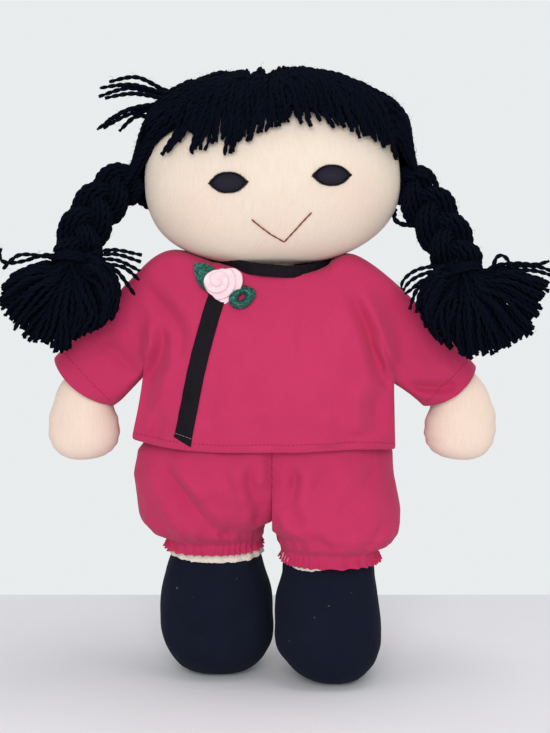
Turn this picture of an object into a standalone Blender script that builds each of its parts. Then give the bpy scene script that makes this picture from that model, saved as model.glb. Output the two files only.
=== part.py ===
"""Rag doll with yarn plaits, a wrapped jacket, bloomers and cloth boots, built as separate sub-parts.

Metres, +Z up. The doll stands on its two boot soles at z = 0 and faces -Y.
Left and right are the doll's own, so its left side is towards +X.
"""

import math

import bmesh
import bpy
from mathutils import Matrix, Vector

# Fits

gap = 0.0003                    # between pieces that touch
seat_gap = 0.0006               # under a piece that lies on a rounded form

# Head

head_half_width = 0.067
head_half_depth = 0.039
crown_height = 0.052            # from the widest line of the head up to its crown
chin_height = 0.043             # from the widest line down to the chin
head_height = 0.2665            # of the widest line over the floor
head_forward = 0.005            # how far the head sits in front of the body
head_lean = math.radians(-2)    # the doll's right cheek hangs lower
head_power = 2.35               # 2 is an ellipse, and more is squarer
head_sides = 28
head_levels = 13

# Face

face_turn = math.radians(-2)    # the features lean a little more than the head does
eye_width = 0.0215
eye_height = 0.0106
eye_spacing = 0.052
eye_rise = 0.0010               # of the eyes over the widest line of the head
face_shift = 0.0042             # of the features towards the doll's left
eye_thickness = 0.0008
eye_edge_width = 0.0009
eye_power = 2.1                 # 2 makes a pointed lens of two arcs
eye_ring_shares = (0.04, 0.50, 1.00)
eye_sides = 20
mouth_width = 0.031
mouth_height = 0.0130
mouth_drop = 0.0300             # of the mouth's lowest point under the widest line
mouth_thread = 0.0010
mouth_point_share = 0.53        # along the mouth, from the doll's right
mouth_power = 1.1
mouth_steps = 8
thread_sides = 6

# Yarn hair

hair_thickness = 0.0085
hair_edge_thickness = 0.0025
parting_width = 0.0026
parting_thread = 0.0014
hairline_angle = math.radians(52)       # from the crown, towards the face
nape_angle = math.radians(141)          # from the crown, towards the back
ear_opening_share = 0.86                # how near the hair comes to the ear, 1 being all the way
parting_round_share = 0.22              # share of the way to the ear over which the hair fills out
hair_seat_gap = 0.0011                  # under the yarn, which lies in long flat runs
hair_rows = 12
hair_columns = 8
hair_front_angle = math.radians(30)     # over which the hair thins towards the face
hair_front_share = 0.20                 # of its fill that is left there
hair_back_angle = math.radians(25)
hair_back_share = 0.40
parting_steps = 14
fringe_thickness = 0.0040
fringe_end_share = 0.55                 # of that thickness, at the yarn ends
fringe_root_angle = math.radians(53.2)  # just in front of the hair's own edge
fringe_reach_share = 0.80               # of the head's half width
fringe_level_shares = (0.00, 0.36, 0.72, 1.00)
fringe_end_angles = tuple(math.radians(a) for a in (
    62, 78, 66, 75, 68, 80, 70, 79, 71, 81, 70, 78, 70, 76,
    64, 66, 56, 62, 57, 65, 59, 66, 58, 66, 60, 70, 62, 68))
tuft_length = 0.0260
tuft_thickness = 0.0036
tuft_strand_count = 6
tuft_notch_share = 0.66                 # of the tuft's length, between its yarn ends
tuft_tip_share = 0.50                   # of its thickness
tuft_around_angle = math.radians(10)
tuft_root_angles = (math.radians(48), math.radians(62))
tuft_fan_angles = (math.radians(14), math.radians(-26))

# Plaits and their tassels

plait_root_across = 0.0795
plait_root_radius = 0.0125
plait_radius = 0.0130
plait_swell = 0.0010                    # of each lump beyond the plait's radius
plait_sway = 0.0026                     # of the lumps from side to side
plait_lump_count = 5
plait_drop = 0.0400
plait_spread = 0.0190
plait_forward = 0.0200
plait_neck_share = 0.62                 # of the radius, where the plait is tied
plait_tie_share = 0.10                  # of the length, over which it narrows to that
plait_root_share = 0.25                 # of the length, over which the lumps grow
plait_depth_share = 0.92                # of the width
plait_sides = 12
plait_steps_per_lump = 3
plait_cap_angles = (math.radians(65), math.radians(35))
tie_thickness = 0.0024
tie_section_shares = ((-0.5, 0.7), (-0.3, 0.95), (0, 1.05), (0.3, 0.95), (0.5, 0.7))
tassel_drop = 0.0400
tassel_half_width = 0.0330
tassel_half_depth = 0.0105
tassel_outward = 0.0075
tassel_forward = 0.0100
tassel_ragged = 0.0026
tassel_power = 2.4
tassel_sides = 24
tassel_turn_share = 0.36                # of the length, over which it turns to hang straight
tassel_section_shares = (
    (0.00, 0.26, 0.70), (0.10, 0.50, 0.90), (0.24, 0.78, 1.00), (0.42, 0.94, 1.00),
    (0.62, 1.00, 0.98), (0.82, 0.98, 0.90), (0.95, 0.88, 0.72), (1.00, 0.80, 0.56))

# Body

body_half_width = 0.049
body_half_depth = 0.034
body_bottom = 0.1076
body_shoulder_height = 0.206
neck_pivot_height = 0.2130
neck_radius = 0.0150
body_power = 2.3
body_sides = 20
body_section_shares = (
    (0.00, 0.72, 0.09), (0.06, 0.88, 0.37), (0.18, 0.97, 0.72), (0.36, 1.00, 0.93),
    (0.60, 0.95, 1.00), (0.80, 0.86, 1.03), (0.94, 0.848, 0.80), (1.00, 0.70, 0.62))

# Jacket

jacket_half_width = 0.070
jacket_half_depth = 0.044
jacket_hem_height = 0.1275
jacket_length = 0.1000
cloth_thickness = 0.0010
jacket_power = 2.45
jacket_sides = 32
search_steps = 24
# Height share at the front and at the sides, then the width and the depth share.
jacket_section_shares = (
    (0.000, 0.000, 1.000, 1.000), (0.170, 0.170, 0.960, 0.980), (0.350, 0.350, 0.925, 0.940),
    (0.510, 0.530, 0.895, 0.870), (0.660, 0.700, 0.865, 0.780), (0.780, 0.855, 0.810, 0.680),
    (0.860, 0.970, 0.740, 0.600), (0.885, 0.960, 0.620, 0.585), (0.900, 0.910, 0.440, 0.590))
armhole_half_height = 0.0270
armhole_half_depth = 0.0175
armhole_height = 0.1970
armhole_length = 0.0300
armhole_sides = 20

sleeve_reach = 0.0630                   # from the sleeve's start in the jacket out to the cuff
sleeve_drop = 0.0390
sleeve_start_across = 0.0350
sleeve_start_height = 0.1980
sleeve_half_height = 0.0320
sleeve_half_depth = 0.0235
sleeve_power = 2.3
sleeve_sides = 24
# Shares of the reach and the drop, the section's turn, then its height and depth shares.
sleeve_section_shares = (
    (0.00, 0.00, 0.05, 0.64, 0.66), (0.22, 0.05, 0.30, 0.82, 0.84), (0.40, 0.19, 0.62, 0.88, 0.98),
    (0.65, 0.52, 0.86, 0.68, 0.90), (0.84, 0.78, 0.98, 0.60, 0.83), (1.00, 1.00, 1.00, 0.56, 0.77))
cuff_angle = math.radians(52)           # of the cuff's section from upright

collar_half_width = 0.0300
collar_half_depth = 0.0252
collar_front_height = 0.2182
collar_side_height = 0.2192
ribbon_width = 0.0090
ribbon_thickness = 0.0008
collar_height_share = 0.50              # of the ribbon's width, as it is folded over the edge
collar_lean_share = 0.16
collar_sides = 32

placket_top_across = -0.0265
placket_bottom_across = -0.0450
placket_bow = 0.0050
placket_top_height = 0.2075
placket_steps = 10
placket_lane_shares = (-0.50, -0.17, 0.17, 0.50)

rose_radius = 0.0098
rose_depth = 0.0060
rose_across = -0.0240
rose_height = 0.2145
rose_turns = 2.6
rose_fold_thickness = 0.0011
rose_steps_per_turn = 16
rose_rim_share = 0.66
rose_start_angle = math.radians(63)
leaf_length = 0.0150
leaf_width = 0.0095
leaf_thickness = 0.0007
leaf_tip_share = 0.35                   # of its length, beyond the rose's rim
leaf_root_share = 0.20                  # of the rose's radius, under its middle
leaf_point_share = 0.08                 # how blunt the tip is
leaf_full_share = 0.75
leaf_fullness = 0.8
leaf_steps = 6
leaf_loop_half_width = 0.0078
leaf_loop_half_height = 0.0058
leaf_loop_ring_shares = (0.34, 0.70, 1.00)
leaf_loop_sides = 18
leaf_loop_out_share = 0.37              # of its half width, beyond the rose's rim
leaf_loop_drop_share = 0.92             # of the rose's radius

# Bloomers

bloomers_half_width = 0.0725
bloomers_half_depth = 0.0370
bloomers_waist_height = 0.1380
bloomers_cuff_height = 0.0685
bloomers_power = 2.4
bloomers_columns = 20
# Height share from the cuff to the waist, then how far round the leg the cloth closes,
# the reach shares outwards and inwards, and the depth share.
bloomers_section_shares = (
    (1.00, 0.00, 0.715, 0.00, 0.87), (0.80, 0.00, 0.88, 0.00, 0.96), (0.60, 0.04, 0.975, 0.00, 1.00),
    (0.46, 0.22, 1.00, 0.00, 1.00), (0.36, 0.50, 1.00, 0.00, 0.985), (0.28, 0.80, 0.99, 0.00, 0.96),
    (0.21, 1.00, 0.965, 0.008, 0.93), (0.13, 1.00, 0.895, 0.022, 0.84), (0.07, 1.00, 0.778, 0.075, 0.70),
    (0.00, 1.00, 0.805, 0.050, 0.74))
bloomers_stride_level = 0.62            # height share above which the cloth stays with the body
elastic_thickness = 0.0010
elastic_height = 0.0030
elastic_sides = 20

# Limbs

shoulder_across = 0.0540
shoulder_height = 0.2010
arm_radius = 0.0120
hand_half_width = 0.0190
hand_half_depth = 0.0135
arm_reach = 0.0470                      # across, from the shoulder joint to the middle of the hand
arm_drop = 0.0820                       # down, from the shoulder joint to the finger tips
limb_power = 2.1
limb_sides = 16
hand_angle = math.radians(90)           # the hand hangs straight down
# Shares of the reach and the drop, the turn's share, then the size share from arm to hand.
arm_section_shares = (
    (0.14, 0.07, 0.46, 0.00), (0.34, 0.20, 0.48, 0.02), (0.60, 0.35, 0.52, 0.03), (0.84, 0.47, 0.60, 0.08),
    (0.97, 0.57, 0.74, 0.40), (1.01, 0.69, 0.92, 0.90), (1.01, 0.80, 1.00, 1.00), (1.00, 0.90, 1.03, 0.84),
    (0.98, 0.97, 1.05, 0.36), (0.97, 1.00, 1.05, -0.30))
arm_cap_angles = tuple(math.radians(a) for a in (70, 45, 20))

hip_across = 0.0306
hip_height = 0.1040
hip_edge_radius = 0.0030
hip_edge_share = 0.72                   # of the leg's half width
hip_edge_angles = tuple(math.radians(a) for a in (75, 45, 15))
leg_half_width = 0.0218
leg_half_depth = 0.0222
leg_section_shares = (
    (0.10, 0.80, 0.32), (0.30, 0.90, 0.62), (0.55, 1.00, 0.86), (0.80, 1.00, 0.97), (1.00, 0.98, 1.00))
boot_top_height = 0.0660
boot_half_width = 0.0301
boot_half_depth = 0.0265
boot_toe_forward = 0.0040
boot_stride = 0.0080                    # the doll's left foot forwards, its right foot back
sole_cut = 0.0005                       # how deep the round sole is flattened by standing
boot_power = 2.6
boot_sides = 24
# Height share, width share, depth share and toe share.
boot_section_shares = (
    (1.00, 0.80, 0.84, 0.00), (0.84, 0.87, 0.88, 0.06), (0.64, 0.95, 0.94, 0.20), (0.44, 1.00, 0.98, 0.50),
    (0.28, 0.985, 1.00, 0.80), (0.16, 0.93, 0.98, 0.95), (0.08, 0.85, 0.90, 1.00), (0.03, 0.74, 0.78, 1.00),
    (0.00, 0.60, 0.62, 1.00))

# Colours

muslin = ((0.84, 0.68, 0.53, 1), 0.90)
crimson = ((0.50, 0.035, 0.115, 1), 0.85)
yarn = ((0.006, 0.007, 0.012, 1), 0.90)
boot_cloth = ((0.008, 0.011, 0.022, 1), 0.92)
black_ribbon = ((0.010, 0.011, 0.013, 1), 0.60)
pink_ribbon = ((0.86, 0.56, 0.62, 1), 0.40)
green_ribbon = ((0.004, 0.130, 0.090, 1), 0.40)
eye_thread = ((0.018, 0.016, 0.030, 1), 0.60)
edge_thread = ((0.008, 0.008, 0.010, 1), 0.70)
mouth_colour = ((0.210, 0.062, 0.044, 1), 0.80)
pale_elastic = ((0.80, 0.78, 0.74, 1), 0.80)
pale_thread = ((0.62, 0.60, 0.57, 1), 0.80)

right = Vector((1, 0, 0))
front = Vector((0, -1, 0))
up = Vector((0, 0, 1))
sides = {"right": -1, "left": 1}


# Helpers

def empty_scene():
    """Removes every object, so that the script can be run again."""
    for thing in list(bpy.data.objects):
        bpy.data.objects.remove(thing, do_unlink=True)


def new_collection(name):
    """A collection of its own under the scene's."""
    group = bpy.data.collections.new(name)
    bpy.context.scene.collection.children.link(group)
    return group


def paint(name, colour):
    """A plain finish with the colour and roughness of the real cloth, thread or yarn."""
    made = bpy.data.materials.new(name)
    made.use_nodes = True
    shader = made.node_tree.nodes["Principled BSDF"]
    shader.inputs["Base Color"].default_value = colour[0]
    shader.inputs["Roughness"].default_value = colour[1]
    shader.inputs["Metallic"].default_value = 0
    return made


def place(name, mesh, colour, body):
    """Puts a finished mesh into the doll as a named piece that moves with a body."""
    thing = bpy.data.objects.new(name, mesh)
    doll.objects.link(thing)
    mesh.materials.append(paint(name, colour))
    thing.parent = body
    thing.matrix_parent_inverse = body.matrix_world.inverted()
    return thing


def joint_empty(name, spot, parent=None):
    """An empty on a joint, with the pieces that it carries parented to it."""
    thing = bpy.data.objects.new(name, None)
    doll.objects.link(thing)
    thing.empty_display_size = elastic_height
    thing.location = spot
    if parent is not None:
        thing.parent = parent
        thing.matrix_parent_inverse = parent.matrix_world.inverted()
    bpy.context.view_layer.update()
    return thing


def cutter(name, mesh):
    """A tool for a Boolean, kept out of the doll."""
    thing = bpy.data.objects.new(name, mesh)
    cutters.objects.link(thing)
    thing.hide_render = True
    thing.display_type = "WIRE"
    return thing


def cut(thing, tool):
    """Takes the tool's shape away from a piece."""
    change = thing.modifiers.new("cut by " + tool.name, "BOOLEAN")
    change.operation = "DIFFERENCE"
    change.solver = "EXACT"
    change.object = tool


def thicken(thing, depth, outwards=False):
    """Gives a sheet its thickness, on the side away from or towards the doll."""
    change = thing.modifiers.new("thickness", "SOLIDIFY")
    change.thickness = depth
    change.offset = 1 if outwards else -1
    change.use_even_offset = False
    change.use_rim = True


def oval(centre, half_width, half_depth, power, count, across=right, along=front):
    """Points of a rounded oval, from the across side round by the along side."""
    points = []
    for step in range(count):
        turn = 2 * math.pi * step / count
        wide = math.copysign(abs(math.cos(turn)) ** (2 / power), math.cos(turn))
        deep = math.copysign(abs(math.sin(turn)) ** (2 / power), math.sin(turn))
        points.append(centre + across * half_width * wide + along * half_depth * deep)
    return points


def loft(rows, wrap=True, caps=True):
    """A mesh through rows of points. Wrap closes each row into a ring, and caps close both ends."""
    made = bmesh.new()
    corners = [[made.verts.new(point) for point in row] for row in rows]
    last = len(rows[0]) if wrap else len(rows[0]) - 1
    for upper, lower in zip(corners, corners[1:]):
        for step in range(last):
            after = (step + 1) % len(upper)
            made.faces.new((upper[step], upper[after], lower[after], lower[step]))
    if caps:
        for ring in (corners[0], corners[-1]):
            middle = made.verts.new(sum((corner.co for corner in ring), Vector()) / len(ring))
            for step, corner in enumerate(ring):
                made.faces.new((corner, ring[(step + 1) % len(ring)], middle))
    return tidy(made)


def slab(inner, outer):
    """A closed solid between two grids of points, joined along their four edges."""
    made = bmesh.new()
    faces = [[[made.verts.new(point) for point in row] for row in grid] for grid in (inner, outer)]
    rows, columns = len(inner), len(inner[0])
    for grid in faces:
        for row in range(rows - 1):
            for step in range(columns - 1):
                after = step + 1
                made.faces.new((grid[row][step], grid[row][after], grid[row + 1][after], grid[row + 1][step]))
    rim = [(0, step) for step in range(columns)]
    rim += [(row, columns - 1) for row in range(1, rows)]
    rim += [(rows - 1, step) for step in range(columns - 2, -1, -1)]
    rim += [(row, 0) for row in range(rows - 2, 0, -1)]
    for (row, step), (next_row, next_step) in zip(rim, rim[1:] + rim[:1]):
        made.faces.new((faces[0][row][step], faces[0][next_row][next_step],
                        faces[1][next_row][next_step], faces[1][row][step]))
    return tidy(made)


def tube(points, radii, count=8):
    """A closed round cord through points, with a radius at each."""
    rows = []
    side = None
    for step, point in enumerate(points):
        before = points[max(step - 1, 0)]
        after = points[min(step + 1, len(points) - 1)]
        along = (after - before).normalized()
        if side is None:
            side = along.orthogonal().normalized()
        side = (side - along * side.dot(along)).normalized()
        rows.append(oval(point, radii[step], radii[step], 2, count, side, along.cross(side)))
    return loft(rows)


def hoop(points, lean_share, height, thickness):
    """A closed flat band round a ring of points, standing height tall and thickness thick."""
    middle = sum(points, Vector()) / len(points)
    rows = []
    for low, deep in ((0, 0), (1, 0), (1, 1), (0, 1)):
        row = []
        for point in points:
            outward = Vector((point.x - middle.x, point.y - middle.y, 0)).normalized()
            row.append(point + up * height * low - outward * (thickness * deep + height * low * lean_share))
        rows.append(row)
    made = bmesh.new()
    corners = [[made.verts.new(point) for point in row] for row in rows]
    for row, beside in zip(corners, corners[1:] + corners[:1]):
        for step in range(len(row)):
            after = (step + 1) % len(row)
            made.faces.new((row[step], row[after], beside[after], beside[step]))
    return tidy(made)


def tidy(made):
    """Turns the faces outwards and hands over the mesh."""
    bmesh.ops.remove_doubles(made, verts=made.verts, dist=gap / 100)
    bmesh.ops.recalc_face_normals(made, faces=made.faces)
    for face in made.faces:
        face.smooth = True
    mesh = bpy.data.meshes.new("form")
    made.to_mesh(mesh)
    made.free()
    return mesh


def between(low, high, share):
    """The value a share of the way from low to high."""
    return low + (high - low) * share


def smooth_step(share):
    """Eases a share from 0 to 1."""
    share = min(max(share, 0), 1)
    return share * share * (3 - 2 * share)


# Body, the root of everything that moves

def build_body(body):
    """The muslin body is a flat stuffed bag, with a neck whose round end the head rocks on."""
    rings = []
    for level, wide, deep in body_section_shares:
        height = between(body_bottom, body_shoulder_height, level)
        ring = oval(up * height, body_half_width * wide, body_half_depth * deep, body_power, body_sides)
        rings.append(ring)
    dome_steps = 4
    rings.append(oval(neck_spot, neck_radius, neck_radius, 2, body_sides))
    for step in range(1, dome_steps):
        rise = math.pi / 2 * step / dome_steps
        level = neck_spot + up * neck_radius * math.sin(rise)
        rings.append(oval(level, neck_radius * math.cos(rise), neck_radius * math.cos(rise), 2, body_sides))
    place("body", loft(rings), muslin, body)


# Jacket

def jacket_rows(extra=0):
    """Rings of the jacket's outside from the hem up to the neck, spread by extra."""
    rows = []
    for front_share, side_share, wide, deep in jacket_section_shares:
        row = oval(Vector(), jacket_half_width * wide + extra, jacket_half_depth * deep + extra,
                   jacket_power, jacket_sides)
        for point in row:
            sideways = (point.x / (jacket_half_width * wide + extra)) ** 2
            rise = between(front_share, side_share, sideways)
            point.z = jacket_hem_height + jacket_length * rise
        rows.append(row)
    return rows


def jacket_front(across, height, extra=0):
    """The point of the jacket's front at a place across and a height, moved out by extra."""
    low, high = 0, len(jacket_section_shares) - 2
    for _ in range(search_steps):
        middle = (low + high) / 2
        ring = min(int(middle), len(jacket_section_shares) - 2)
        front_share, side_share, wide, deep = (
            between(lower, upper, middle - ring)
            for lower, upper in zip(jacket_section_shares[ring], jacket_section_shares[ring + 1]))
        sideways = min(abs(across) / (jacket_half_width * wide), 1)
        rise = between(front_share, side_share, sideways ** 2)
        if jacket_hem_height + jacket_length * rise < height:
            low = middle
        else:
            high = middle
    bulge = (1 - sideways ** jacket_power) ** (1 / jacket_power)
    return Vector((across, -jacket_half_depth * deep * bulge - extra, height))


def build_jacket(body):
    """The jacket is a cloth shell, open at the hem, the neck and both armholes."""
    jacket = place("jacket", loft(jacket_rows(), caps=False), crimson, body)
    thicken(jacket, cloth_thickness)
    for side, hand in sides.items():
        start = Vector((hand * (shoulder_across - armhole_length / 2), 0, armhole_height))
        rings = [oval(start + right * hand * armhole_length * share, armhole_half_depth,
                      armhole_half_height, 2, armhole_sides, front, up) for share in (0, 1)]
        cut(jacket, cutter("armhole_" + side, loft(rings)))


def build_collar(body):
    """The neck edge is bound with black ribbon."""
    ring = oval(Vector(), collar_half_width, collar_half_depth, 2, collar_sides)
    for point in ring:
        point.z = between(collar_front_height, collar_side_height, (point.x / collar_half_width) ** 2)
    band = hoop(ring, collar_lean_share, ribbon_width * collar_height_share, 2 * ribbon_thickness)
    place("collar_ribbon", band, black_ribbon, body)


def build_placket(body):
    """A length of the same ribbon is sewn down the slanting edge of the front."""
    rows = []
    for step in range(placket_steps + 1):
        share = step / placket_steps
        height = between(placket_top_height, jacket_hem_height, share)
        across = between(placket_top_across, placket_bottom_across, share)
        across -= placket_bow * math.sin(math.pi * share)
        rows.append([jacket_front(across + ribbon_width * place_share, height, seat_gap)
                     for place_share in placket_lane_shares])
    ribbon = place("placket_ribbon", loft(rows, wrap=False, caps=False), black_ribbon, body)
    face_outwards(ribbon.data)
    thicken(ribbon, ribbon_thickness, outwards=True)


def face_outwards(mesh, direction=front):
    """Turns a sheet so that most of it looks along the direction."""
    total = sum((face.normal * face.area for face in mesh.polygons), Vector())
    if total.dot(direction) < 0:
        mesh.flip_normals()


def seat_on_jacket(across, height, reach, extra):
    """A place on the jacket front, clear of the cloth within reach. Its x runs across and its -y outwards."""
    beside = (jacket_front(across + reach, height) - jacket_front(across - reach, height)).normalized()
    above = (jacket_front(across, height + reach) - jacket_front(across, height - reach)).normalized()
    outwards = above.cross(beside).normalized()
    if outwards.dot(front) < 0:
        outwards.negate()
    above = beside.cross(outwards).normalized()
    if above.z < 0:
        above.negate()
    middle = jacket_front(across, height)
    stand_off = max((jacket_front(point.x, point.z) - middle).dot(outwards)
                    for point in oval(middle, reach, reach, 2, 12, right, up) + [middle])
    turned = Matrix((beside, -outwards, above)).transposed().to_4x4()
    return Matrix.Translation(middle + outwards * (stand_off + extra)) @ turned


def build_rose(body):
    """The rose is a spiral of folded ribbon that lies on its two leaves."""
    seat = seat_on_jacket(rose_across, rose_height, rose_radius + rose_fold_thickness,
                          seat_gap + leaf_thickness + gap)
    steps = round(rose_turns * rose_steps_per_turn)
    lanes = [[], [], [], []]
    for step in range(steps + 1):
        share = step / steps
        turn = 2 * math.pi * rose_turns * share + rose_start_angle
        radius = between(rose_fold_thickness, rose_radius, share)
        lift = rose_depth * between(1, rose_rim_share, share)
        direction = Vector((math.sin(turn), 0, math.cos(turn)))
        for lane, (deep, outer) in zip(lanes, ((0, 0), (1, 0), (1, 1), (0, 1))):
            lane.append(seat @ (front * lift * deep + direction * (radius + rose_fold_thickness * outer)))
    made = bmesh.new()
    corners = [[made.verts.new(point) for point in lane] for lane in lanes]
    for lane, beside in zip(corners, corners[1:] + corners[:1]):
        for step in range(steps):
            made.faces.new((lane[step], lane[step + 1], beside[step + 1], beside[step]))
    for step in (0, steps):
        made.faces.new([lane[step] for lane in corners])
    place("ribbon_rose", tidy(made), pink_ribbon, body)


def build_leaves(body):
    """One leaf is a pointed fold of green ribbon, and the other is a small loop of it."""
    tip = Vector((rose_across - rose_radius - leaf_length * leaf_tip_share, 0, rose_height + rose_radius))
    root = Vector((rose_across, 0, rose_height - rose_radius * leaf_root_share))
    along = (root - tip).normalized()
    beside = Vector((-along.z, 0, along.x))
    rows = []
    for step in range(leaf_steps + 1):
        share = step / leaf_steps
        full = math.sin(math.pi * (leaf_point_share + share * leaf_full_share)) ** leaf_fullness
        spots = [tip.lerp(root, share) + beside * leaf_width / 2 * full * edge for edge in (-1, 0, 1)]
        rows.append([jacket_front(spot.x, spot.z, seat_gap + gap) for spot in spots])
    leaf = place("rose_leaf_upper", loft(rows, wrap=False, caps=False), green_ribbon, body)
    face_outwards(leaf.data)
    thicken(leaf, leaf_thickness, outwards=True)

    middle = Vector((rose_across + rose_radius + leaf_loop_half_width * leaf_loop_out_share, 0,
                     rose_height - rose_radius * leaf_loop_drop_share))
    rows = []
    for reach in leaf_loop_ring_shares:
        wide, tall = leaf_loop_half_width * reach, leaf_loop_half_height * reach
        ring = oval(middle, wide, tall, 2, leaf_loop_sides, right, up)
        rows.append([jacket_front(point.x, point.z, gap) for point in ring])
    loop = place("rose_leaf_lower", loft(rows, caps=False), green_ribbon, body)
    face_outwards(loop.data)
    thicken(loop, leaf_thickness, outwards=True)


def build_sleeve(side, hand, body):
    """The sleeve is a wide tapering tube that meets the jacket round the armhole."""
    rings = []
    for reach, drop, turn, tall, deep in sleeve_section_shares:
        centre = Vector((hand * (sleeve_start_across + sleeve_reach * reach), 0,
                         sleeve_start_height - sleeve_drop * drop))
        lean = cuff_angle * turn
        upward = Vector((hand * math.sin(lean), 0, math.cos(lean)))
        rings.append(oval(centre, sleeve_half_height * tall, sleeve_half_depth * deep,
                          sleeve_power, sleeve_sides, upward, front))
    sleeve = place("sleeve_" + side, loft(rings, caps=False), crimson, body)
    face_away(sleeve.data, Vector((hand * (sleeve_start_across + sleeve_reach / 2), 0,
                                   sleeve_start_height - sleeve_drop / 2)))
    thicken(sleeve, cloth_thickness)
    cut(sleeve, jacket_tool)


def face_away(mesh, middle):
    """Turns an open tube so that its faces look away from a point inside it."""
    total = sum((face.center - middle).dot(face.normal) * face.area for face in mesh.polygons)
    if total < 0:
        mesh.flip_normals()


# Arms and legs

def build_arm(side, hand, body):
    """Arm and mitten hand are one stuffed bag, round at the shoulder where it is sewn on."""
    shoulder = Vector((hand * shoulder_across, 0, shoulder_height))
    lean = hand_angle * arm_section_shares[0][2]
    back = Vector((-hand * math.cos(lean), 0, math.sin(lean)))
    upward = Vector((hand * math.sin(lean), 0, math.cos(lean)))
    rings = []
    for turn in arm_cap_angles:
        reach = arm_radius * math.cos(turn)
        centre = shoulder + back * arm_radius * math.sin(turn)
        rings.append(oval(centre, reach, reach, limb_power, limb_sides, upward, front))
    for across, drop, turn, share in arm_section_shares:
        centre = shoulder + right * hand * arm_reach * across - up * arm_drop * drop
        lean = hand_angle * turn
        upward = Vector((hand * math.sin(lean), 0, math.cos(lean)))
        rings.append(oval(centre, between(arm_radius, hand_half_width, share),
                          between(arm_radius, hand_half_depth, share), limb_power, limb_sides, upward, front))
    place("arm_" + side, loft(rings), muslin, body)


def build_leg(side, hand, body):
    """The leg is a stuffed bag that is pressed flat at the hip, so that it can swing."""
    stride = front * hand * boot_stride
    hip = Vector((hand * hip_across, 0, hip_height))
    rings = []
    for turn in hip_edge_angles:
        rings.append(oval(hip + up * hip_edge_radius * math.sin(turn), leg_half_width * hip_edge_share,
                          hip_edge_radius * math.cos(turn), limb_power, limb_sides))
    for drop, wide, deep in leg_section_shares:
        centre = hip - up * (hip_height - boot_top_height - gap) * drop + stride * smooth_step(drop)
        rings.append(oval(centre, leg_half_width * wide, leg_half_depth * deep, limb_power, limb_sides))
    place("leg_" + side, loft(rings), muslin, body)


def build_boot(side, hand, body):
    """The boot is a stuffed bag of dark cloth, flattened where it stands."""
    stride = front * hand * boot_stride
    rings = []
    for level, wide, deep, toe in boot_section_shares:
        height = between(-sole_cut, boot_top_height, level)
        centre = Vector((hand * hip_across, 0, max(height, 0))) + stride + front * boot_toe_forward * toe
        rings.append(oval(centre, boot_half_width * wide, boot_half_depth * deep, boot_power, boot_sides))
    place("boot_" + side, loft(rings), boot_cloth, body)


def bloomers_centre(hand, section):
    """The middle of a section of the bloomers, and its half width and half depth."""
    level, closed, outward, inward, deep = section
    height = between(bloomers_cuff_height, bloomers_waist_height, level)
    shift = smooth_step((bloomers_stride_level - level) / bloomers_stride_level)
    across = bloomers_half_width * closed * (outward + inward) / 2
    centre = Vector((hand * across, 0, height)) + front * hand * boot_stride * shift
    return centre, bloomers_half_width * outward - across, bloomers_half_depth * deep


def bloomers_row(hand, section):
    """A row of the cloth: from the front seam, or the inner leg seam, round the doll's side to the back."""
    closed = section[1]
    centre, half_width, half_depth = bloomers_centre(hand, section)
    row = []
    for step in range(bloomers_columns + 1):
        turn = math.pi / 2 * (1 + closed) * between(-1, 1, step / bloomers_columns)
        wide = math.copysign(abs(math.cos(turn)) ** (2 / bloomers_power), math.cos(turn))
        deep = math.copysign(abs(math.sin(turn)) ** (2 / bloomers_power), math.sin(turn))
        if closed == 1 and step in (0, bloomers_columns):
            wide, deep = -1, 0
        across = max(hand * centre.x + half_width * wide, gap)
        row.append(Vector((hand * across, centre.y + half_depth * deep, centre.z)))
    return row


def build_bloomers(side, hand, body):
    """Each half of the bloomers is one piece of cloth, sewn up the inner leg and to its twin above."""
    rows = [bloomers_row(hand, section) for section in bloomers_section_shares]
    half = place("bloomers_" + side, loft(rows, wrap=False, caps=False), crimson, body)
    face_away(half.data, Vector((hand * hip_across, 0, hip_height)))
    thicken(half, cloth_thickness)


def build_elastics(side, hand, body):
    """A narrow elastic is sewn inside each leg opening."""
    centre, half_width, half_depth = bloomers_centre(hand, bloomers_section_shares[-2])
    inside = cloth_thickness + 2 * gap
    low = centre - up * elastic_height / 2
    ring = oval(low, half_width - inside, half_depth - inside, bloomers_power, elastic_sides)
    place("cuff_elastic_" + side, hoop(ring, 0, elastic_height, elastic_thickness), pale_elastic, body)


def build_waist_elastic(body):
    """A wider elastic is sewn inside the waist."""
    inside = cloth_thickness + 2 * gap
    _, half_width, half_depth = bloomers_centre(1, bloomers_section_shares[0])
    centre = up * (bloomers_waist_height - elastic_height)
    ring = oval(centre, half_width - inside, half_depth - inside, bloomers_power, collar_sides)
    place("waist_elastic", hoop(ring, 0, elastic_height, elastic_thickness), pale_elastic, body)


# Head

def on_head(around, across, extra=0):
    """A point over the head, extra off its cloth.

    Around turns from the crown towards the face, and across goes from the parting to an ear.
    """
    half_width, half_depth = head_half_width + extra, head_half_depth + extra
    half_height = (crown_height if math.cos(around) >= 0 else chin_height) + extra
    ring = abs(math.cos(across)) ** (2 / head_power)
    wide = math.copysign(abs(math.sin(across)) ** (2 / head_power), across)
    tall = math.copysign(abs(math.cos(around)) ** (2 / head_power), math.cos(around))
    deep = math.copysign(abs(math.sin(around)) ** (2 / head_power), math.sin(around))
    return lean_head(Vector((half_width * wide, -half_depth * ring * deep, half_height * ring * tall)))


def lean_head(point):
    """Turns a point from the head's own middle into its place on the doll."""
    return head_place @ point


def on_face(across, rise, extra):
    """The point of the face at a place across and a rise over the widest line, moved out by extra."""
    half_height = crown_height if rise >= 0 else chin_height
    bulge = 1 - abs(across / head_half_width) ** head_power - abs(rise / half_height) ** head_power
    return lean_head(Vector((across, -head_half_depth * bulge ** (1 / head_power) - extra, rise)))


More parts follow.
